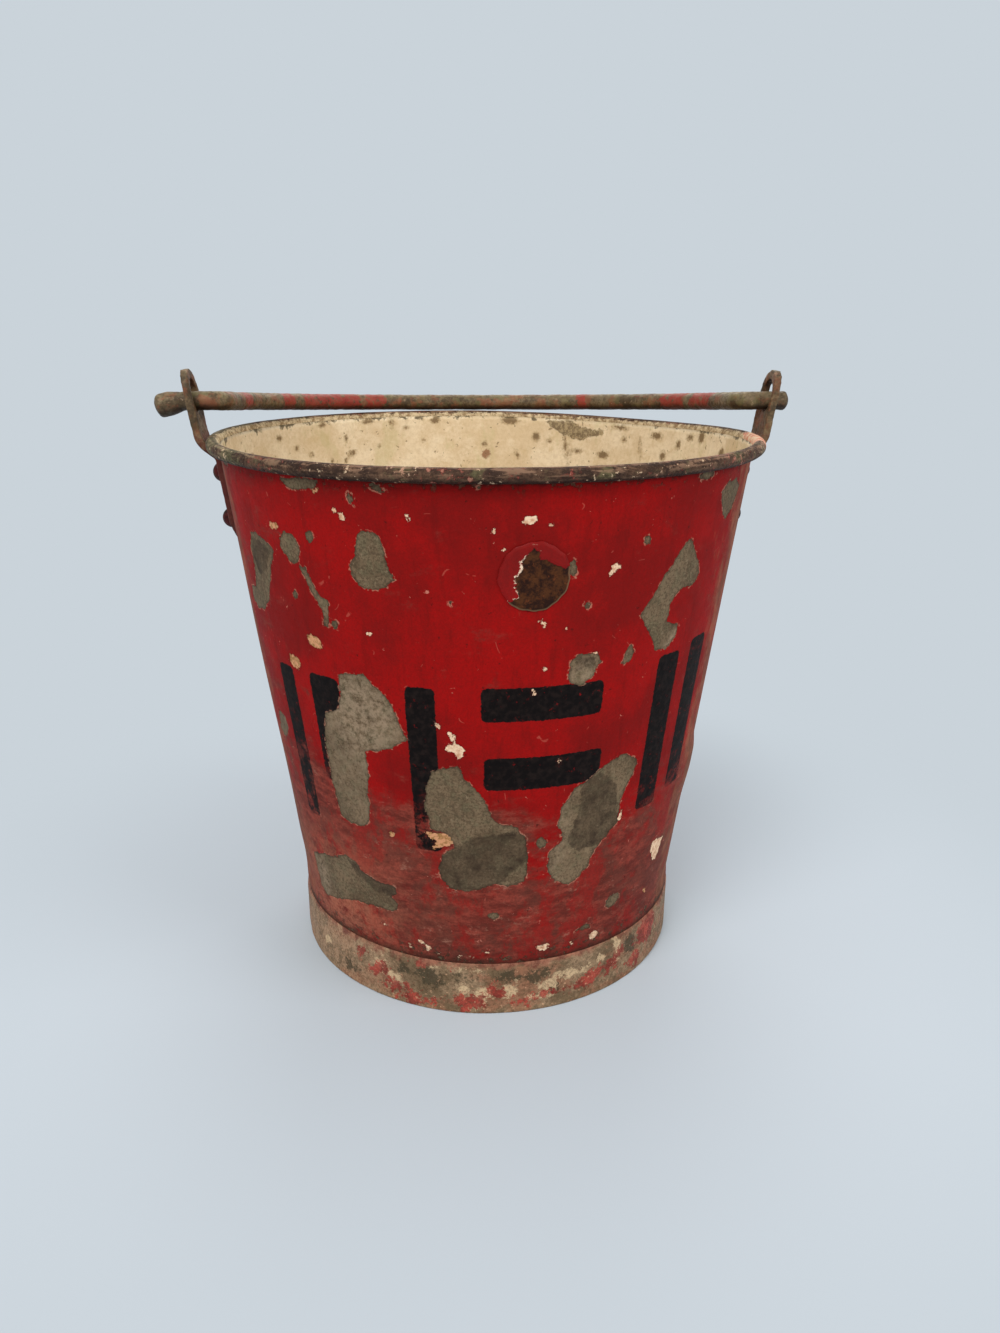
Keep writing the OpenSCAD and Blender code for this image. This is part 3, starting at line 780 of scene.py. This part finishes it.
def rim_metal():
    """The rim bead: rubbed metal over the top, partly a painted highlight, painted shade below, and
    specks of every old coat.
    """
    s = Shading("rim_metal_worn")
    base = s.blend(s.patches(0.38, 0.6, 14, 6, 0.7), (54, 36, 27), (94, 68, 51))
    green = s.step(s.add(s.noise(17, 4, 0.6), s.times(s.number("green"), 0.12)), 0.54, 0.64)
    base = s.over(base, green, 0.65, (100, 96, 64))
    fine = s.patches(0.42, 0.6, 1.6, 5, 0.8)
    base = s.over(base, fine, 0.55, (44, 34, 26))
    # rubbed metal, full where the bead faces up: wear, and on the top a painted highlight
    up = s.step(s.facing("Z"), -0.35, 0.8, 0.35, 1.0)
    along_x = s.noise(1.6, 6, 0.8, s.stretched(0.2, 1.0, 1.0))
    along_y = s.noise(1.6, 6, 0.8, s.stretched(1.0, 0.2, 1.0))
    streak = s.level(s.step(s.calc("ABSOLUTE", s.axis("X")), 0.1, 0.115), along_x, along_y)
    rub = s.add(s.number("scratch"), s.spread(streak, 2.6))
    rub = s.times(up, s.step(rub, 0.45, 0.8))
    rubbed = s.blend(s.step(s.number("green"), 0.2, 0.8), (150, 116, 92), (144, 130, 98))
    base = s.mix(s.times(rub, 0.65), base, rubbed)
    groove = s.step(streak, 0.46, 0.38)
    base = s.over(base, groove, 0.5, (44, 28, 21))
    # painted shade on the bead's underside
    under = s.step(s.add(s.facing("Z"), s.spread(s.noise(5, 4), 0.9)), -0.3, -0.8)
    base = s.over(base, under, 0.85, (38, 22, 17))
    pale = s.step(s.add(s.noise(2.6, 5, 0.7), s.spread(s.noise(34, 3), 0.25)), 0.61, 0.65)
    base = s.over(base, pale, 0.8, (216, 186, 152))
    red_place = s.patches(0.5, 0.58, 30, 4, 0.6)
    red = s.times(red_place, s.patches(0.54, 0.6, 2.6, 6, 0.75))
    base = s.over(base, red, 0.7, (132, 48, 42))
    inner = s.step(s.add(s.number("inner"), s.spread(s.noise(4, 6, 0.75), 1.6)), 0.25, 0.55)
    cream = s.blend(s.patches(0.42, 0.6, 3, 5, 0.75), (222, 200, 160), (150, 124, 88))
    base = s.mix(s.times(inner, 0.85), base, cream)
    blob = s.step(s.add(s.number("blob"), s.spread(s.noise(3.0, 5, 0.7), 3.0)), -0.2, 0.3)
    blob_colour = s.blend(s.patches(0.44, 0.58, 3.4, 5, 0.7), (208, 132, 108), (222, 196, 160))
    base = s.mix(s.times(blob, 0.95), base, blob_colour)
    normal = s.bump(s.noise(6, 4, 0.6), 0.5)
    normal = s.bump(streak, 0.5, normal)
    return s.finish(base, s.level(fine, 0.6, 0.8), normal, 0.05, specular=0.15)


def foot_metal():
    """The foot ring: tan and olive metal with scraps of red and cream, red along its top."""
    s = Shading("foot_ring_worn")
    high = s.height()
    flat = s.stretched(0.8, 0.8, 1.2)
    coarse = s.noise(9, 6, 0.75)
    base = s.blend(s.patches(0.4, 0.6, 20, 6, 0.7, flat), (112, 90, 64), (158, 130, 100))
    brown = s.patches(0.48, 0.58, 24, 5, 0.65, flat)
    base = s.over(base, brown, 0.6, (164, 108, 80))
    middle = s.patches(0.46, 0.6, 4, 6, 0.8)
    base = s.over(base, middle, 0.5, (94, 78, 52))
    rubbed = s.times(s.number("rubbed"), s.patches(0.4, 0.58, 6, 6, 0.8))
    base = s.over(base, rubbed, 0.75, (178, 142, 110))
    dark = s.step(ragged_marks(s, "dark", coarse, s.noise(5, 6, 0.8)), -1.0, 1.6)
    base = s.over(base, dark, 0.85, (66, 58, 38))
    pale = s.step(ragged_marks(s, "pale", coarse, s.noise(3.2, 6, 0.8)), 0.0, 0.9)
    base = s.over(base, pale, 0.85, (214, 184, 144))
    red = s.step(ragged_marks(s, "red", s.noise(11, 6, 0.75), s.noise(3.6, 6, 0.8)), 0.0, 0.8)
    red_colour = s.blend(s.patches(0.42, 0.6, 7, 5), (132, 30, 26), (178, 62, 50))
    base = s.mix(s.times(red, 0.85), base, red_colour)
    dots = s.patches(0.6, 0.66, 2.2, 4, 0.7)
    base = s.over(base, dots, 0.65, (214, 166, 128))
    fine = s.patches(0.46, 0.62, 1.6, 4, 0.8)
    base = s.over(base, fine, 0.5, (70, 52, 36))
    top = s.step(s.add(high, s.spread(s.noise(14, 6, 0.75), 22.0)), FOOT_TOP - 4, FOOT_TOP)
    top_colour = s.blend(s.patches(0.42, 0.6, 6, 6, 0.75), (104, 48, 38), (158, 100, 78))
    base = s.mix(s.times(top, 0.8), base, top_colour)
    normal = s.bump(s.noise(11, 4, 0.6), 0.6)
    normal = s.bump(s.noise(2.4, 5, 0.75), 0.4, normal)
    return s.finish(base, s.level(fine, 0.55, 0.8), normal, 0.1, sheen=0.05)


def ragged_marks(s, name, coarse, fine):
    """The depth inside a set of marks, torn about by a coarse and a fine noise."""
    torn = s.add(s.spread(coarse, 26.0), s.spread(fine, 16.0))
    return s.add(s.number(name), torn)


def forged_iron(name, dark, light, painted, amount, coat):
    """Handled wrought iron, brown and olive, with a painted highlight on top and painted shade
    underneath. painted is where the coat is left, from 0 to 1.
    """
    s = Shading(name)
    base = s.blend(s.patches(0.38, 0.62, 12, 6, 0.7), dark, light)
    fine = s.patches(0.42, 0.62, 1.8, 5, 0.8)
    base = s.over(base, fine, 0.5, (50, 40, 28))
    green = s.patches(0.52, 0.62, 8, 4, 0.6)
    base = s.over(base, green, 0.4, (112, 106, 66))
    orange = s.patches(0.5, 0.6, 13, 5, 0.7)
    base = s.over(base, orange, 0.55, (138, 80, 54))
    pale = s.patches(0.63, 0.68, 3.2, 5, 0.7)
    base = s.over(base, pale, 0.45, (178, 150, 118))
    # painted highlight: paler where the iron faces up
    up = s.times(s.step(s.facing("Z"), 0.3, 1.0), s.patches(0.38, 0.6, 4, 5, 0.75))
    base = s.over(base, up, 0.45, (156, 140, 106))
    base = s.mix(s.times(painted(s), amount), base, paint(*coat))
    # painted shade on the undersides
    under = s.step(s.add(s.facing("Z"), s.spread(s.noise(5, 4), 0.5)), -0.05, -0.7)
    base = s.over(base, under, 0.75, (36, 23, 17))
    normal = s.bump(s.noise(5, 4, 0.6), 0.45)
    normal = s.bump(s.noise(1.3, 4, 0.75), 0.2, normal)
    return s.finish(base, s.level(fine, 0.42, 0.66), normal, 0.2)


def paint_on_bail(s):
    """Bands of paint with ragged ends, worn through here and there."""
    depth = s.add(s.number("red"), s.spread(s.noise(6, 6, 0.75), 22.0))
    holes = s.patches(0.6, 0.54, 3.6, 6, 0.75)
    stray = s.patches(0.63, 0.67, 9, 6, 0.75)
    return s.calc("MAXIMUM", s.times(s.step(depth, -0.5, 0.8), holes), s.times(stray, 0.7))


def paint_on_ear(s):
    """Nearly whole on the strap below the rim, scraps only round the eye."""
    high = s.height()
    ragged = s.add(high, s.spread(s.noise(7, 6, 0.75), 60.0))
    strap = s.step(ragged, RIM_TOP + 2, RIM_TOP - 14)
    stray = s.patches(0.52, 0.58, 8, 6, 0.78)
    return s.calc("MAXIMUM", strap, s.times(stray, 0.55))


def rivet_paint():
    """Red paint darkened as painted shade, worn down to brown iron."""
    s = Shading("rivet_paint_worn_shaded")
    # dark maroon: painted shade, for the rivets lie in the shade under the rim
    base = s.blend(s.patches(0.42, 0.6, 5, 5, 0.7), (42, 16, 15), (76, 22, 20))
    worn = s.patches(0.54, 0.62, 3, 5, 0.7)
    base = s.over(base, worn, 0.7, (78, 56, 40))
    return s.finish(base, s.level(worn, 0.5, 0.7), s.bump(s.noise(2, 4, 0.65), 0.2), specular=0.1)


def disc_rust():
    """Brown rust with orange and dark pits, red paint left on it, a pale edge to the paint, and a
    painted highlight round the disc's rim.
    """
    s = Shading("disc_rust")
    fine_edge = s.spread(s.noise(2.4, 5, 0.7), 3.4)
    depth = s.add(s.number("rust"), fine_edge)
    base = s.blend(s.patches(0.4, 0.6, 5, 6, 0.75), (40, 20, 13), (78, 44, 22))
    orange = s.patches(0.58, 0.68, 3, 5, 0.75)
    base = s.over(base, orange, 0.55, (116, 60, 30))
    pits = s.patches(0.6, 0.68, 2.2, 4, 0.65)
    base = s.over(base, pits, 0.6, (28, 17, 14))
    # painted highlight along the disc's raised edge
    rim = s.step(s.number("edge"), 1.1, 0.2)
    base = s.over(base, rim, 0.7, (132, 104, 76))
    red = red_coat(s)
    broken = s.patches(0.5, 0.56, 5.5, 5, 0.7)
    band = s.add(depth, s.spread(s.noise(4.4, 4), 3.4))
    cream_band = s.times(s.step(band, -1.0, -0.6), s.step(s.number("cream_side"), 0.3, 0.6))
    cream_band = s.times(cream_band, broken)
    red = s.mix(cream_band, red, paint(232, 204, 176))
    bare = s.step(depth, -0.15, 0.15)
    colour = s.mix(bare, red, base)
    height = s.calc("SUBTRACT", s.times(s.noise(3, 6, 0.7), s.level(bare, 0.15, 0.8)), bare)
    normal = s.bump(height, 0.5)
    return s.finish(colour, s.level(bare, 0.42, 0.72), normal, specular=0.1)


# ---------------------------------------------------------------- pieces
def bucket_angles():
    """Directions of the outer mesh's columns: close together in front, where most marks are."""
    front = np.arange(-180, 0, 0.62)
    back = np.arange(0, 180, 2.0)
    seam = SEAM_ANGLE + np.array([-1.9, -1.45, -1.35, -0.9, 0, 0.9, 1.35, 1.45, 1.9])
    back = back[np.min(np.abs(back[:, None] - seam[None]), 1) > 0.5]
    return np.sort(np.concatenate([front, back, seam]))


def wall_shift(a, r, z):
    """The wall's dents, its dropped rim, and the folded seam that stands out on its outer face."""
    seam_half = math.degrees(SEAM_W / 2 / SEAM_AT_R)
    seam = 1 - smooth(np.abs(turn_from(a, SEAM_ANGLE)), seam_half, seam_half + 0.12)
    seam *= smooth(z, FOOT_TOP + 1, FOOT_TOP + 2) * (1 - smooth(z, 280, 282))
    seam *= SEAM_RISE * (r > wall_radius(z) - 0.1)
    return dent(a, z) + seam, -rim_drop(a, z)


def make_wall_outside():
    """The outer half of the sheet, from the foot ring's hem to inside the bead."""
    top = BEAD_AT[1] - 1.0
    rows = np.concatenate([[WALL_FOOT, 16.0], np.arange(FOOT_TOP - 1, top - 1, 1.5), [top]])
    outer = [(wall_radius(z), z) for z in rows]
    inner = [(wall_radius(z) - ACROSS / 2, z) for z in np.linspace(top, WALL_FOOT, 24)]
    angles = bucket_angles()
    depth = {}

    def shift(a, r, z):
        out, up = wall_shift(a, r, z)
        zinc = np.maximum(deepest(a, z, outline_depth, ZINC_CHIPS),
                          deepest(a, z, spot_depth, ZINC_SPOTS))
        depth["zinc"] = zinc
        return out - 0.15 * smooth(zinc, -0.6, 0.6) * (r > wall_radius(z) - 0.1), up

    piece, a, z = turned("wall_outside", outer + inner, angles, shift)
    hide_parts("wall", "rim_wire")
    set_numbers(piece, "zinc", depth["zinc"])
    set_wall_wear(piece, a, z)
    piece.data.materials.append(wall_paint())


def set_wall_wear(piece, a, z):
    """Where the wall's coats are lost, faded or dirty, and what the zinc in the chips is like."""
    cream = np.maximum(deepest(a, z, spot_depth, CREAM_SPOTS),
                       deepest(a, z, outline_depth, CREAM_CHIPS))
    set_numbers(piece, "cream", cream)
    tan = sum(near(a, at, 4) * bell(z, height, 8) for at, height in TAN_MARKS)
    set_numbers(piece, "tan", np.clip(1.4 * tan, 0, 1))
    set_numbers(piece, "stencil", deepest(a, z, bar_depth, STENCIL_BARS))
    set_numbers(piece, "old_metal", deepest(a, z, outline_depth, OLD_ZINC))
    bright_zinc_and_highlight = soft_marks(a, z, BRIGHT_ZINC)
    # one streak, a painted highlight, leans to the right as it rises
    leaning = turn_from(a, -49.5) - 0.45 * (z - 203.5)
    bright_zinc_and_highlight += 2.6 * bell(leaning, 0, 1.2) * bell(z, 203.5, 5)
    set_numbers(piece, "bright_zinc_and_highlight", np.clip(bright_zinc_and_highlight, 0, 1))
    set_numbers(piece, "streaked", near(a, -65, 7) * bell(z, 112, 26))
    scuff = 1.2 * (1 - smooth(z, 32, 44)) + 0.8 * bell(z, 284, 2.5)
    set_numbers(piece, "scuff", np.clip(scuff, 0, 1))
    dust = near(a, -140, 16) * (1 - smooth(z, 60, 110))
    set_numbers(piece, "dust", dust)
    # tan strips of dust; those at -24 and -166 degrees lie on the wall's edges as seen from the
    # front, where they are a painted grazing sheen
    dust_and_sheen = near(a, -24, 9) + near(a, -166, 7) + 0.4 * near(a, 60, 10) + 0.4 * near(a, 138, 9)
    set_numbers(piece, "side_dust_and_sheen", np.clip(dust_and_sheen, 0, 1))
    fade = 0.95 * (1 - smooth(z, 72, 158)) + 0.5 * dust - 0.3 * near(a, -80, 4)
    fade += 0.25 * smooth(np.abs(turn_from(a, -92)), 38, 66)
    fade += 0.5 * near(a, -104, 14) * bell(z, 116, 9)
    fade += 0.45 * near(a, -140, 9) * bell(z, 112, 26)
    set_numbers(piece, "fade", fade)


def make_wall_inside():
    """The inner half of the sheet, up to where it meets the bead's inner side."""
    top = BEAD_AT[1]
    rows = np.concatenate([np.arange(WALL_FOOT, 225, 8), np.arange(226, top - 1, 1.6), [top]])
    inner = [(wall_radius(z) - ACROSS, z) for z in rows[::-1]]
    outer = [(wall_radius(z) - ACROSS / 2, z) for z in np.linspace(WALL_FOOT, top - 0.5, 24)]
    angles = np.concatenate([np.arange(-180, 0, 2.0), np.arange(0, 180, 0.9)])
    piece, a, z = turned("wall_inside", outer + inner, angles,
                         lambda a, r, z: (dent(a, z), -rim_drop(a, z)))
    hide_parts("wall")
    set_numbers(piece, "stain", deepest(a, z, spot_depth, INSIDE_SPOTS))
    set_numbers(piece, "rust", deepest(a, z, spot_depth, INSIDE_RUST))
    set_numbers(piece, "patch", outline_depth(a, z, INSIDE_PATCH))
    piece.data.materials.append(cream_inside())


def rim_scratches(rows, columns):
    """Random values drawn out along the bead, as long thin streaks, one for each vertex."""
    random = np.random.default_rng(11)
    every = 4
    knots = random.random((rows, columns // every))
    at = np.arange(columns) / every
    low = np.floor(at).astype(int) % knots.shape[1]
    part = at - np.floor(at)
    return knots[:, low] * (1 - part) + knots[:, (low + 1) % knots.shape[1]] * part


def make_rim_bead():
    """The sheet rolled over its wire, flattened a little here and there."""
    turns = np.radians(np.arange(0, 360, 15))
    section = [(BEAD_AT[0] + BEAD_R * math.cos(t), BEAD_AT[1] + BEAD_R * math.sin(t))
               for t in turns]
    angles = np.arange(-180, 180, 0.9)

    def shift(a, r, z):
        round_r = r - BEAD_AT[0]
        round_z = z - BEAD_AT[1]
        lumps = -0.05 * (1 + wave(3 * a, 40 * round_z, 0.4))
        lumps -= 0.03 * (1 + wave(11 * a, 60 * round_z, 2.2))
        up = lumps * round_z / BEAD_R - rim_drop(a, np.full(a.shape, BEAD_AT[1]))
        return lumps * np.maximum(round_r, 0) / BEAD_R, up

    piece, a, z = turned("rim_bead", section, angles, shift)
    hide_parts("rim_wire")
    set_numbers(piece, "blob", 4.4 * near(a, -11, 6) - 1.3)
    set_numbers(piece, "green", near(a, -172, 26))
    facing_in = -np.cos(np.repeat(turns, len(angles)))
    cream_reach = 0.25 * near(a, -172, 30) + 0.2 * near(a, -5, 20)
    set_numbers(piece, "inner", facing_in - 0.35 + cream_reach)
    set_numbers(piece, "scratch", rim_scratches(len(turns), len(angles)))
    piece.data.materials.append(rim_metal())


def make_foot_ring():
    """The hoop under the wall, knocked a little out of true, its lower edge doubled inwards."""
    inner = FOOT_R - FOOT_SHEET
    rows = np.arange(2.0, FOOT_TOP - 3, 1.5)
    section = ([(FOOT_R - 1.1, 0.0), (FOOT_R - 0.45, 0.18), (FOOT_R - 0.1, 0.8)]
               + [(FOOT_R, z) for z in rows]
               + [(FOOT_R - 0.08, FOOT_TOP - 2.2), (FOOT_R - 0.25, FOOT_TOP - 1.3),
                  (FOOT_R - 0.6, FOOT_TOP - 0.5), (FOOT_R - 1.0, FOOT_TOP - 0.1),
                  (inner, FOOT_TOP), (inner, 16.0), (inner, FOOT_HEM),
                  (inner - FOOT_SHEET, FOOT_HEM), (inner - FOOT_SHEET, 0.6),
                  (inner - FOOT_SHEET / 2, 0.0)])

    def shift(a, r, z):
        outer = smooth(r, inner + 0.1, FOOT_R)
        oval = foot_oval(a)
        dents = oval - 0.22 * (1 + wave(2 * a, 3 * z, 0.9)) - 0.12 * (1 + wave(9 * a, 9 * z, 2.6))
        edge = -0.25 * (1 + wave(5 * a, z, 4.1)) - 1.6 * near(a, -90, 17)
        edge = edge * smooth(z, FOOT_TOP - 7, FOOT_TOP)
        return oval * (1 - outer) + dents * outer * smooth(z, -2, 3), edge * outer

    piece, a, z = turned("foot_hoop", section, np.arange(-180, 180, 0.9), shift)
    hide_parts("foot_ring")
    for name, marks in (("red", FOOT_RED), ("pale", FOOT_CREAM), ("dark", FOOT_DARK)):
        set_numbers(piece, name, deepest(a, z, spot_depth, marks))
    set_numbers(piece, "rubbed", near(a, -146, 17) + 0.5 * near(a, 80, 30))
    piece.data.materials.append(foot_metal())


def make_disc():
    """The rusted disc, rolled to the wall's curve, its face pitted and its edge eaten."""
    rings = 34
    spokes = 144
    radii = np.linspace(0, 1, rings + 1)[1:]
    turn = np.radians(np.arange(spokes) * 360 / spokes)
    points = [(0.0, 0.0, 0.0)]
    for radius in radii:
        for t in turn:
            eaten = DISC_R - 0.25 - 0.22 * math.sin(7 * t + 1) - 0.14 * math.sin(17 * t)
            u, v = radius * eaten * math.cos(t), radius * eaten * math.sin(t)
            points.append((u, v, (1 - radius) * eaten))
    flat = np.array(points)
    faces = [(0, 1 + k, 1 + (k + 1) % spokes) for k in range(spokes)]
    for ring in range(rings - 1):
        for k in range(spokes):
            a, b = 1 + ring * spokes + k, 1 + ring * spokes + (k + 1) % spokes
            faces.append((a, a + spokes, b + spokes, b))
    top_count = len(flat)
    lip = list(range(top_count - spokes, top_count))
    back_centre = top_count + spokes
    for k in range(spokes):
        faces.append((lip[k], top_count + k, top_count + (k + 1) % spokes, lip[(k + 1) % spokes]))
        faces.append((back_centre, top_count + (k + 1) % spokes, top_count + k))

    height = DISC_Z + flat[:, 1]
    angle = DISC_ANGLE + np.degrees(flat[:, 0] / wall_radius(DISC_Z))
    rust = outline_depth(angle, height, DISC_RUST)
    pitted = np.array([noise.fractal(Vector((u * 0.5, v * 0.5, 3.0)), 0.6, 2.0, 4)
                       for u, v, _ in points])
    crown = 1 - 0.5 * (1 - smooth(flat[:, 2], 0, 1.6))
    eaten_deep = 0.16 + 0.14 * np.clip(pitted + 0.3, 0, 1)
    thick = DISC_THICK * crown - smooth(rust, -0.8, 0.8) * eaten_deep
    face = [(wall_radius(h) + SEAT_GAP + t, a, h) for h, a, t in zip(height, angle, thick)]
    back = [(wall_radius(h) + SEAT_GAP, a, h)
            for h, a in list(zip(height, angle))[-spokes:] + [(DISC_Z, DISC_ANGLE)]]
    place = np.array([(r * math.cos(math.radians(a)), r * math.sin(math.radians(a)), h)
                      for r, a, h in face + back])
    piece = mesh_object("disc_on_front", place, faces, "bucket")
    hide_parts("front_disc")
    both = np.concatenate([np.arange(top_count), lip, [0]])
    set_numbers(piece, "rust", rust[both])
    set_numbers(piece, "edge", flat[both, 2])
    cream_side = smooth(-flat[:, 0] + 0.2 * flat[:, 1], -2, 3)
    set_numbers(piece, "cream_side", cream_side[both])
    piece.data.materials.append(disc_rust())


def forged_copy(name, node, voxel_mm, rounds, lump_mm, body):
    """A hand-forged version of a CAD piece: its edges rounded over and its faces uneven."""
    piece = in_scene(name, cad_piece(node).data.copy())
    piece.data.materials.clear()
    remesh = piece.modifiers.new("remesh", "REMESH")
    remesh.mode = "VOXEL"
    remesh.voxel_size = voxel_mm * MM
    remesh.use_smooth_shade = True
    rounding = piece.modifiers.new("rounding", "SMOOTH")
    rounding.factor = 0.5
    rounding.iterations = rounds
    graph = bpy.context.evaluated_depsgraph_get()
    made = bpy.data.meshes.new_from_object(piece.evaluated_get(graph))
    piece.modifiers.clear()
    piece.data = made
    made.name = name
    count = len(made.vertices)
    place = np.zeros(count * 3, np.float32)
    normals = np.zeros(count * 3, np.float32)
    made.vertices.foreach_get("co", place)
    made.vertices.foreach_get("normal", normals)
    place = place.reshape(-1, 3)
    normals = normals.reshape(-1, 3)
    lumps = np.array([noise.fractal(Vector(p) * 160.0, 0.7, 2.0, 3) for p in place.tolist()])
    place = place - normals * (np.clip(lumps + 0.5, 0, 1.2) * lump_mm * MM)[:, None]
    made.vertices.foreach_set("co", place.astype(np.float32).ravel())
    shade_smooth(made)
    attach(piece, body)
    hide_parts(node)
    return piece, place / MM


def make_ears():
    """The two forged ears, with paint left on their straps, darkened as painted shade."""
    # the coat's dark red is painted shade: the straps lie in the shade under the rim
    material = forged_iron("ear_iron", (72, 58, 40), (128, 104, 74), paint_on_ear, 0.85,
                           (88, 24, 22))
    for side in ("left", "right"):
        piece, _ = forged_copy(f"{side}_ear_forged", f"{side}_ear", 0.55, 14, 0.25,
                               "bucket")
        piece.data.materials.append(material)


def make_bail():
    """The round bar, with red paint left on it in bands along its arch."""
    piece, place = forged_copy("bail_bar", "bail", 0.8, 4, 0.22, "bail")
    turn = np.degrees(np.arctan2(place[:, 1] - ARCH_MIDDLE_Y, place[:, 0]))
    red = np.full(turn.shape, -20.0)
    mm_per_degree = math.radians(1) * (BAIL_HIGH.y - ARCH_MIDDLE_Y)
    for low, high in BAIL_RED:
        inside = (high - low) / 2 - np.abs(turn - (low + high) / 2)
        red = np.maximum(red, inside * mm_per_degree)
    set_numbers(piece, "red", red)
    piece.data.materials.append(forged_iron("bail_iron", (80, 64, 44), (124, 106, 78),
                                            paint_on_bail, 0.7, (150, 36, 32)))


def finish_cad(node, material):
    """Gives a piece that keeps its CAD mesh its one material."""
    materials = cad_piece(node).data.materials
    materials.clear()
    materials.append(material)


# ---------------------------------------------------------------- stage, lights, camera
BACKGROUND = paint(202, 211, 218)
FLOOR_COLOUR = paint(190, 199, 206)
FLOOR_HALF = 6.0
FLOOR_FADES_FROM = 0.2
FLOOR_FADES_TO = 0.42
ROOM_LIGHT = 0.62


def camera_only(tree, amount, others, seen, kind):
    """Ends a world's or a material's tree with what lights the scene and what the camera sees."""
    inputs = {0: amount, 1: others.outputs[0], 2: seen.outputs[0]}
    mix = new_node(tree, "ShaderNodeMixShader", inputs)
    new_node(tree, kind, {"Surface": mix.outputs[0]})


def make_world():
    """Even studio light, which the camera sees as the plain pale background."""
    world = bpy.data.worlds.new("studio")
    bpy.context.scene.world = world
    world.use_nodes = True
    tree = world.node_tree
    tree.nodes.clear()
    seen = new_node(tree, "ShaderNodeBackground", {"Color": BACKGROUND})
    light = {"Color": (1.0, 1.0, 1.0, 1.0), "Strength": ROOM_LIGHT}
    lit = new_node(tree, "ShaderNodeBackground", light)
    rays = new_node(tree, "ShaderNodeLightPath", {})
    camera_only(tree, rays.outputs["Is Camera Ray"], lit, seen, "ShaderNodeOutputWorld")


def make_floor():
    """A plain pale floor that runs out into the background's own colour."""
    corners = [(x * FLOOR_HALF, y * FLOOR_HALF, 0) for x, y in ((-1, -1), (1, -1), (1, 1), (-1, 1))]
    mesh = bpy.data.meshes.new("floor")
    mesh.from_pydata(corners, [], [(0, 1, 2, 3)])
    floor = in_scene("floor", mesh)
    material = bpy.data.materials.new("pale_floor")
    material.use_nodes = True
    tree = material.node_tree
    tree.nodes.clear()
    matt = new_node(tree, "ShaderNodeBsdfDiffuse", {"Color": FLOOR_COLOUR})
    plain = new_node(tree, "ShaderNodeEmission", {"Color": BACKGROUND})
    place = new_node(tree, "ShaderNodeTexCoord", {})
    far = new_node(tree, "ShaderNodeVectorMath", {0: place.outputs["Object"]})
    far.operation = "LENGTH"
    reach = {"Value": far.outputs["Value"], "From Min": FLOOR_FADES_FROM,
             "From Max": FLOOR_FADES_TO}
    fade = new_node(tree, "ShaderNodeMapRange", reach)
    fade.interpolation_type = "SMOOTHSTEP"
    rays = new_node(tree, "ShaderNodeLightPath", {})
    factors = {0: fade.outputs["Result"], 1: rays.outputs["Is Camera Ray"]}
    both = new_node(tree, "ShaderNodeMath", factors)
    both.operation = "MULTIPLY"
    camera_only(tree, both.outputs[0], matt, plain, "ShaderNodeOutputMaterial")
    mesh.materials.append(material)


def area_light(name, place, target, size, power):
    """A round lamp that faces a target."""
    data = bpy.data.lights.new(name, "AREA")
    data.shape = "DISK"
    data.size = size
    data.energy = power
    lamp = in_scene(name, data)
    lamp.location = place
    lamp.rotation_euler = (Vector(target) - Vector(place)).to_track_quat("-Z", "Y").to_euler()


def make_camera():
    """The photograph's viewpoint: from the front, looking down at the rim."""
    data = bpy.data.cameras.new("camera")
    data.lens = 27.0
    data.sensor_width = 36.0
    camera = in_scene("camera", data)
    camera.location = (-0.0363, -0.5480, 0.3443)
    camera.rotation_mode = "XYZ"
    camera.rotation_euler = (math.radians(90 - 18.8), math.radians(-0.3), math.radians(-4.5))
    bpy.context.scene.camera = camera


def make_studio():
    """The world, the floor, three lamps and plain colours."""
    make_world()
    make_floor()
    middle = (0.0, 0.0, 0.18)
    area_light("key", (-0.7, -1.3, 1.7), middle, 1.1, 25.0)
    area_light("fill", (1.4, -0.9, 1.2), middle, 1.2, 12.0)
    area_light("back", (0.2, 1.5, 1.6), middle, 1.4, 12.0)
    bpy.context.scene.view_settings.view_transform = "Standard"


make_camera()
make_studio()
make_wall_outside()
make_wall_inside()
make_rim_bead()
make_foot_ring()
make_disc()
make_ears()
make_bail()
finish_cad("base_plate", base_paint())
rivets = rivet_paint()
for side in ("left", "right"):
    for level in ("upper", "lower"):
        finish_cad(f"{side}_{level}_rivet", rivets)
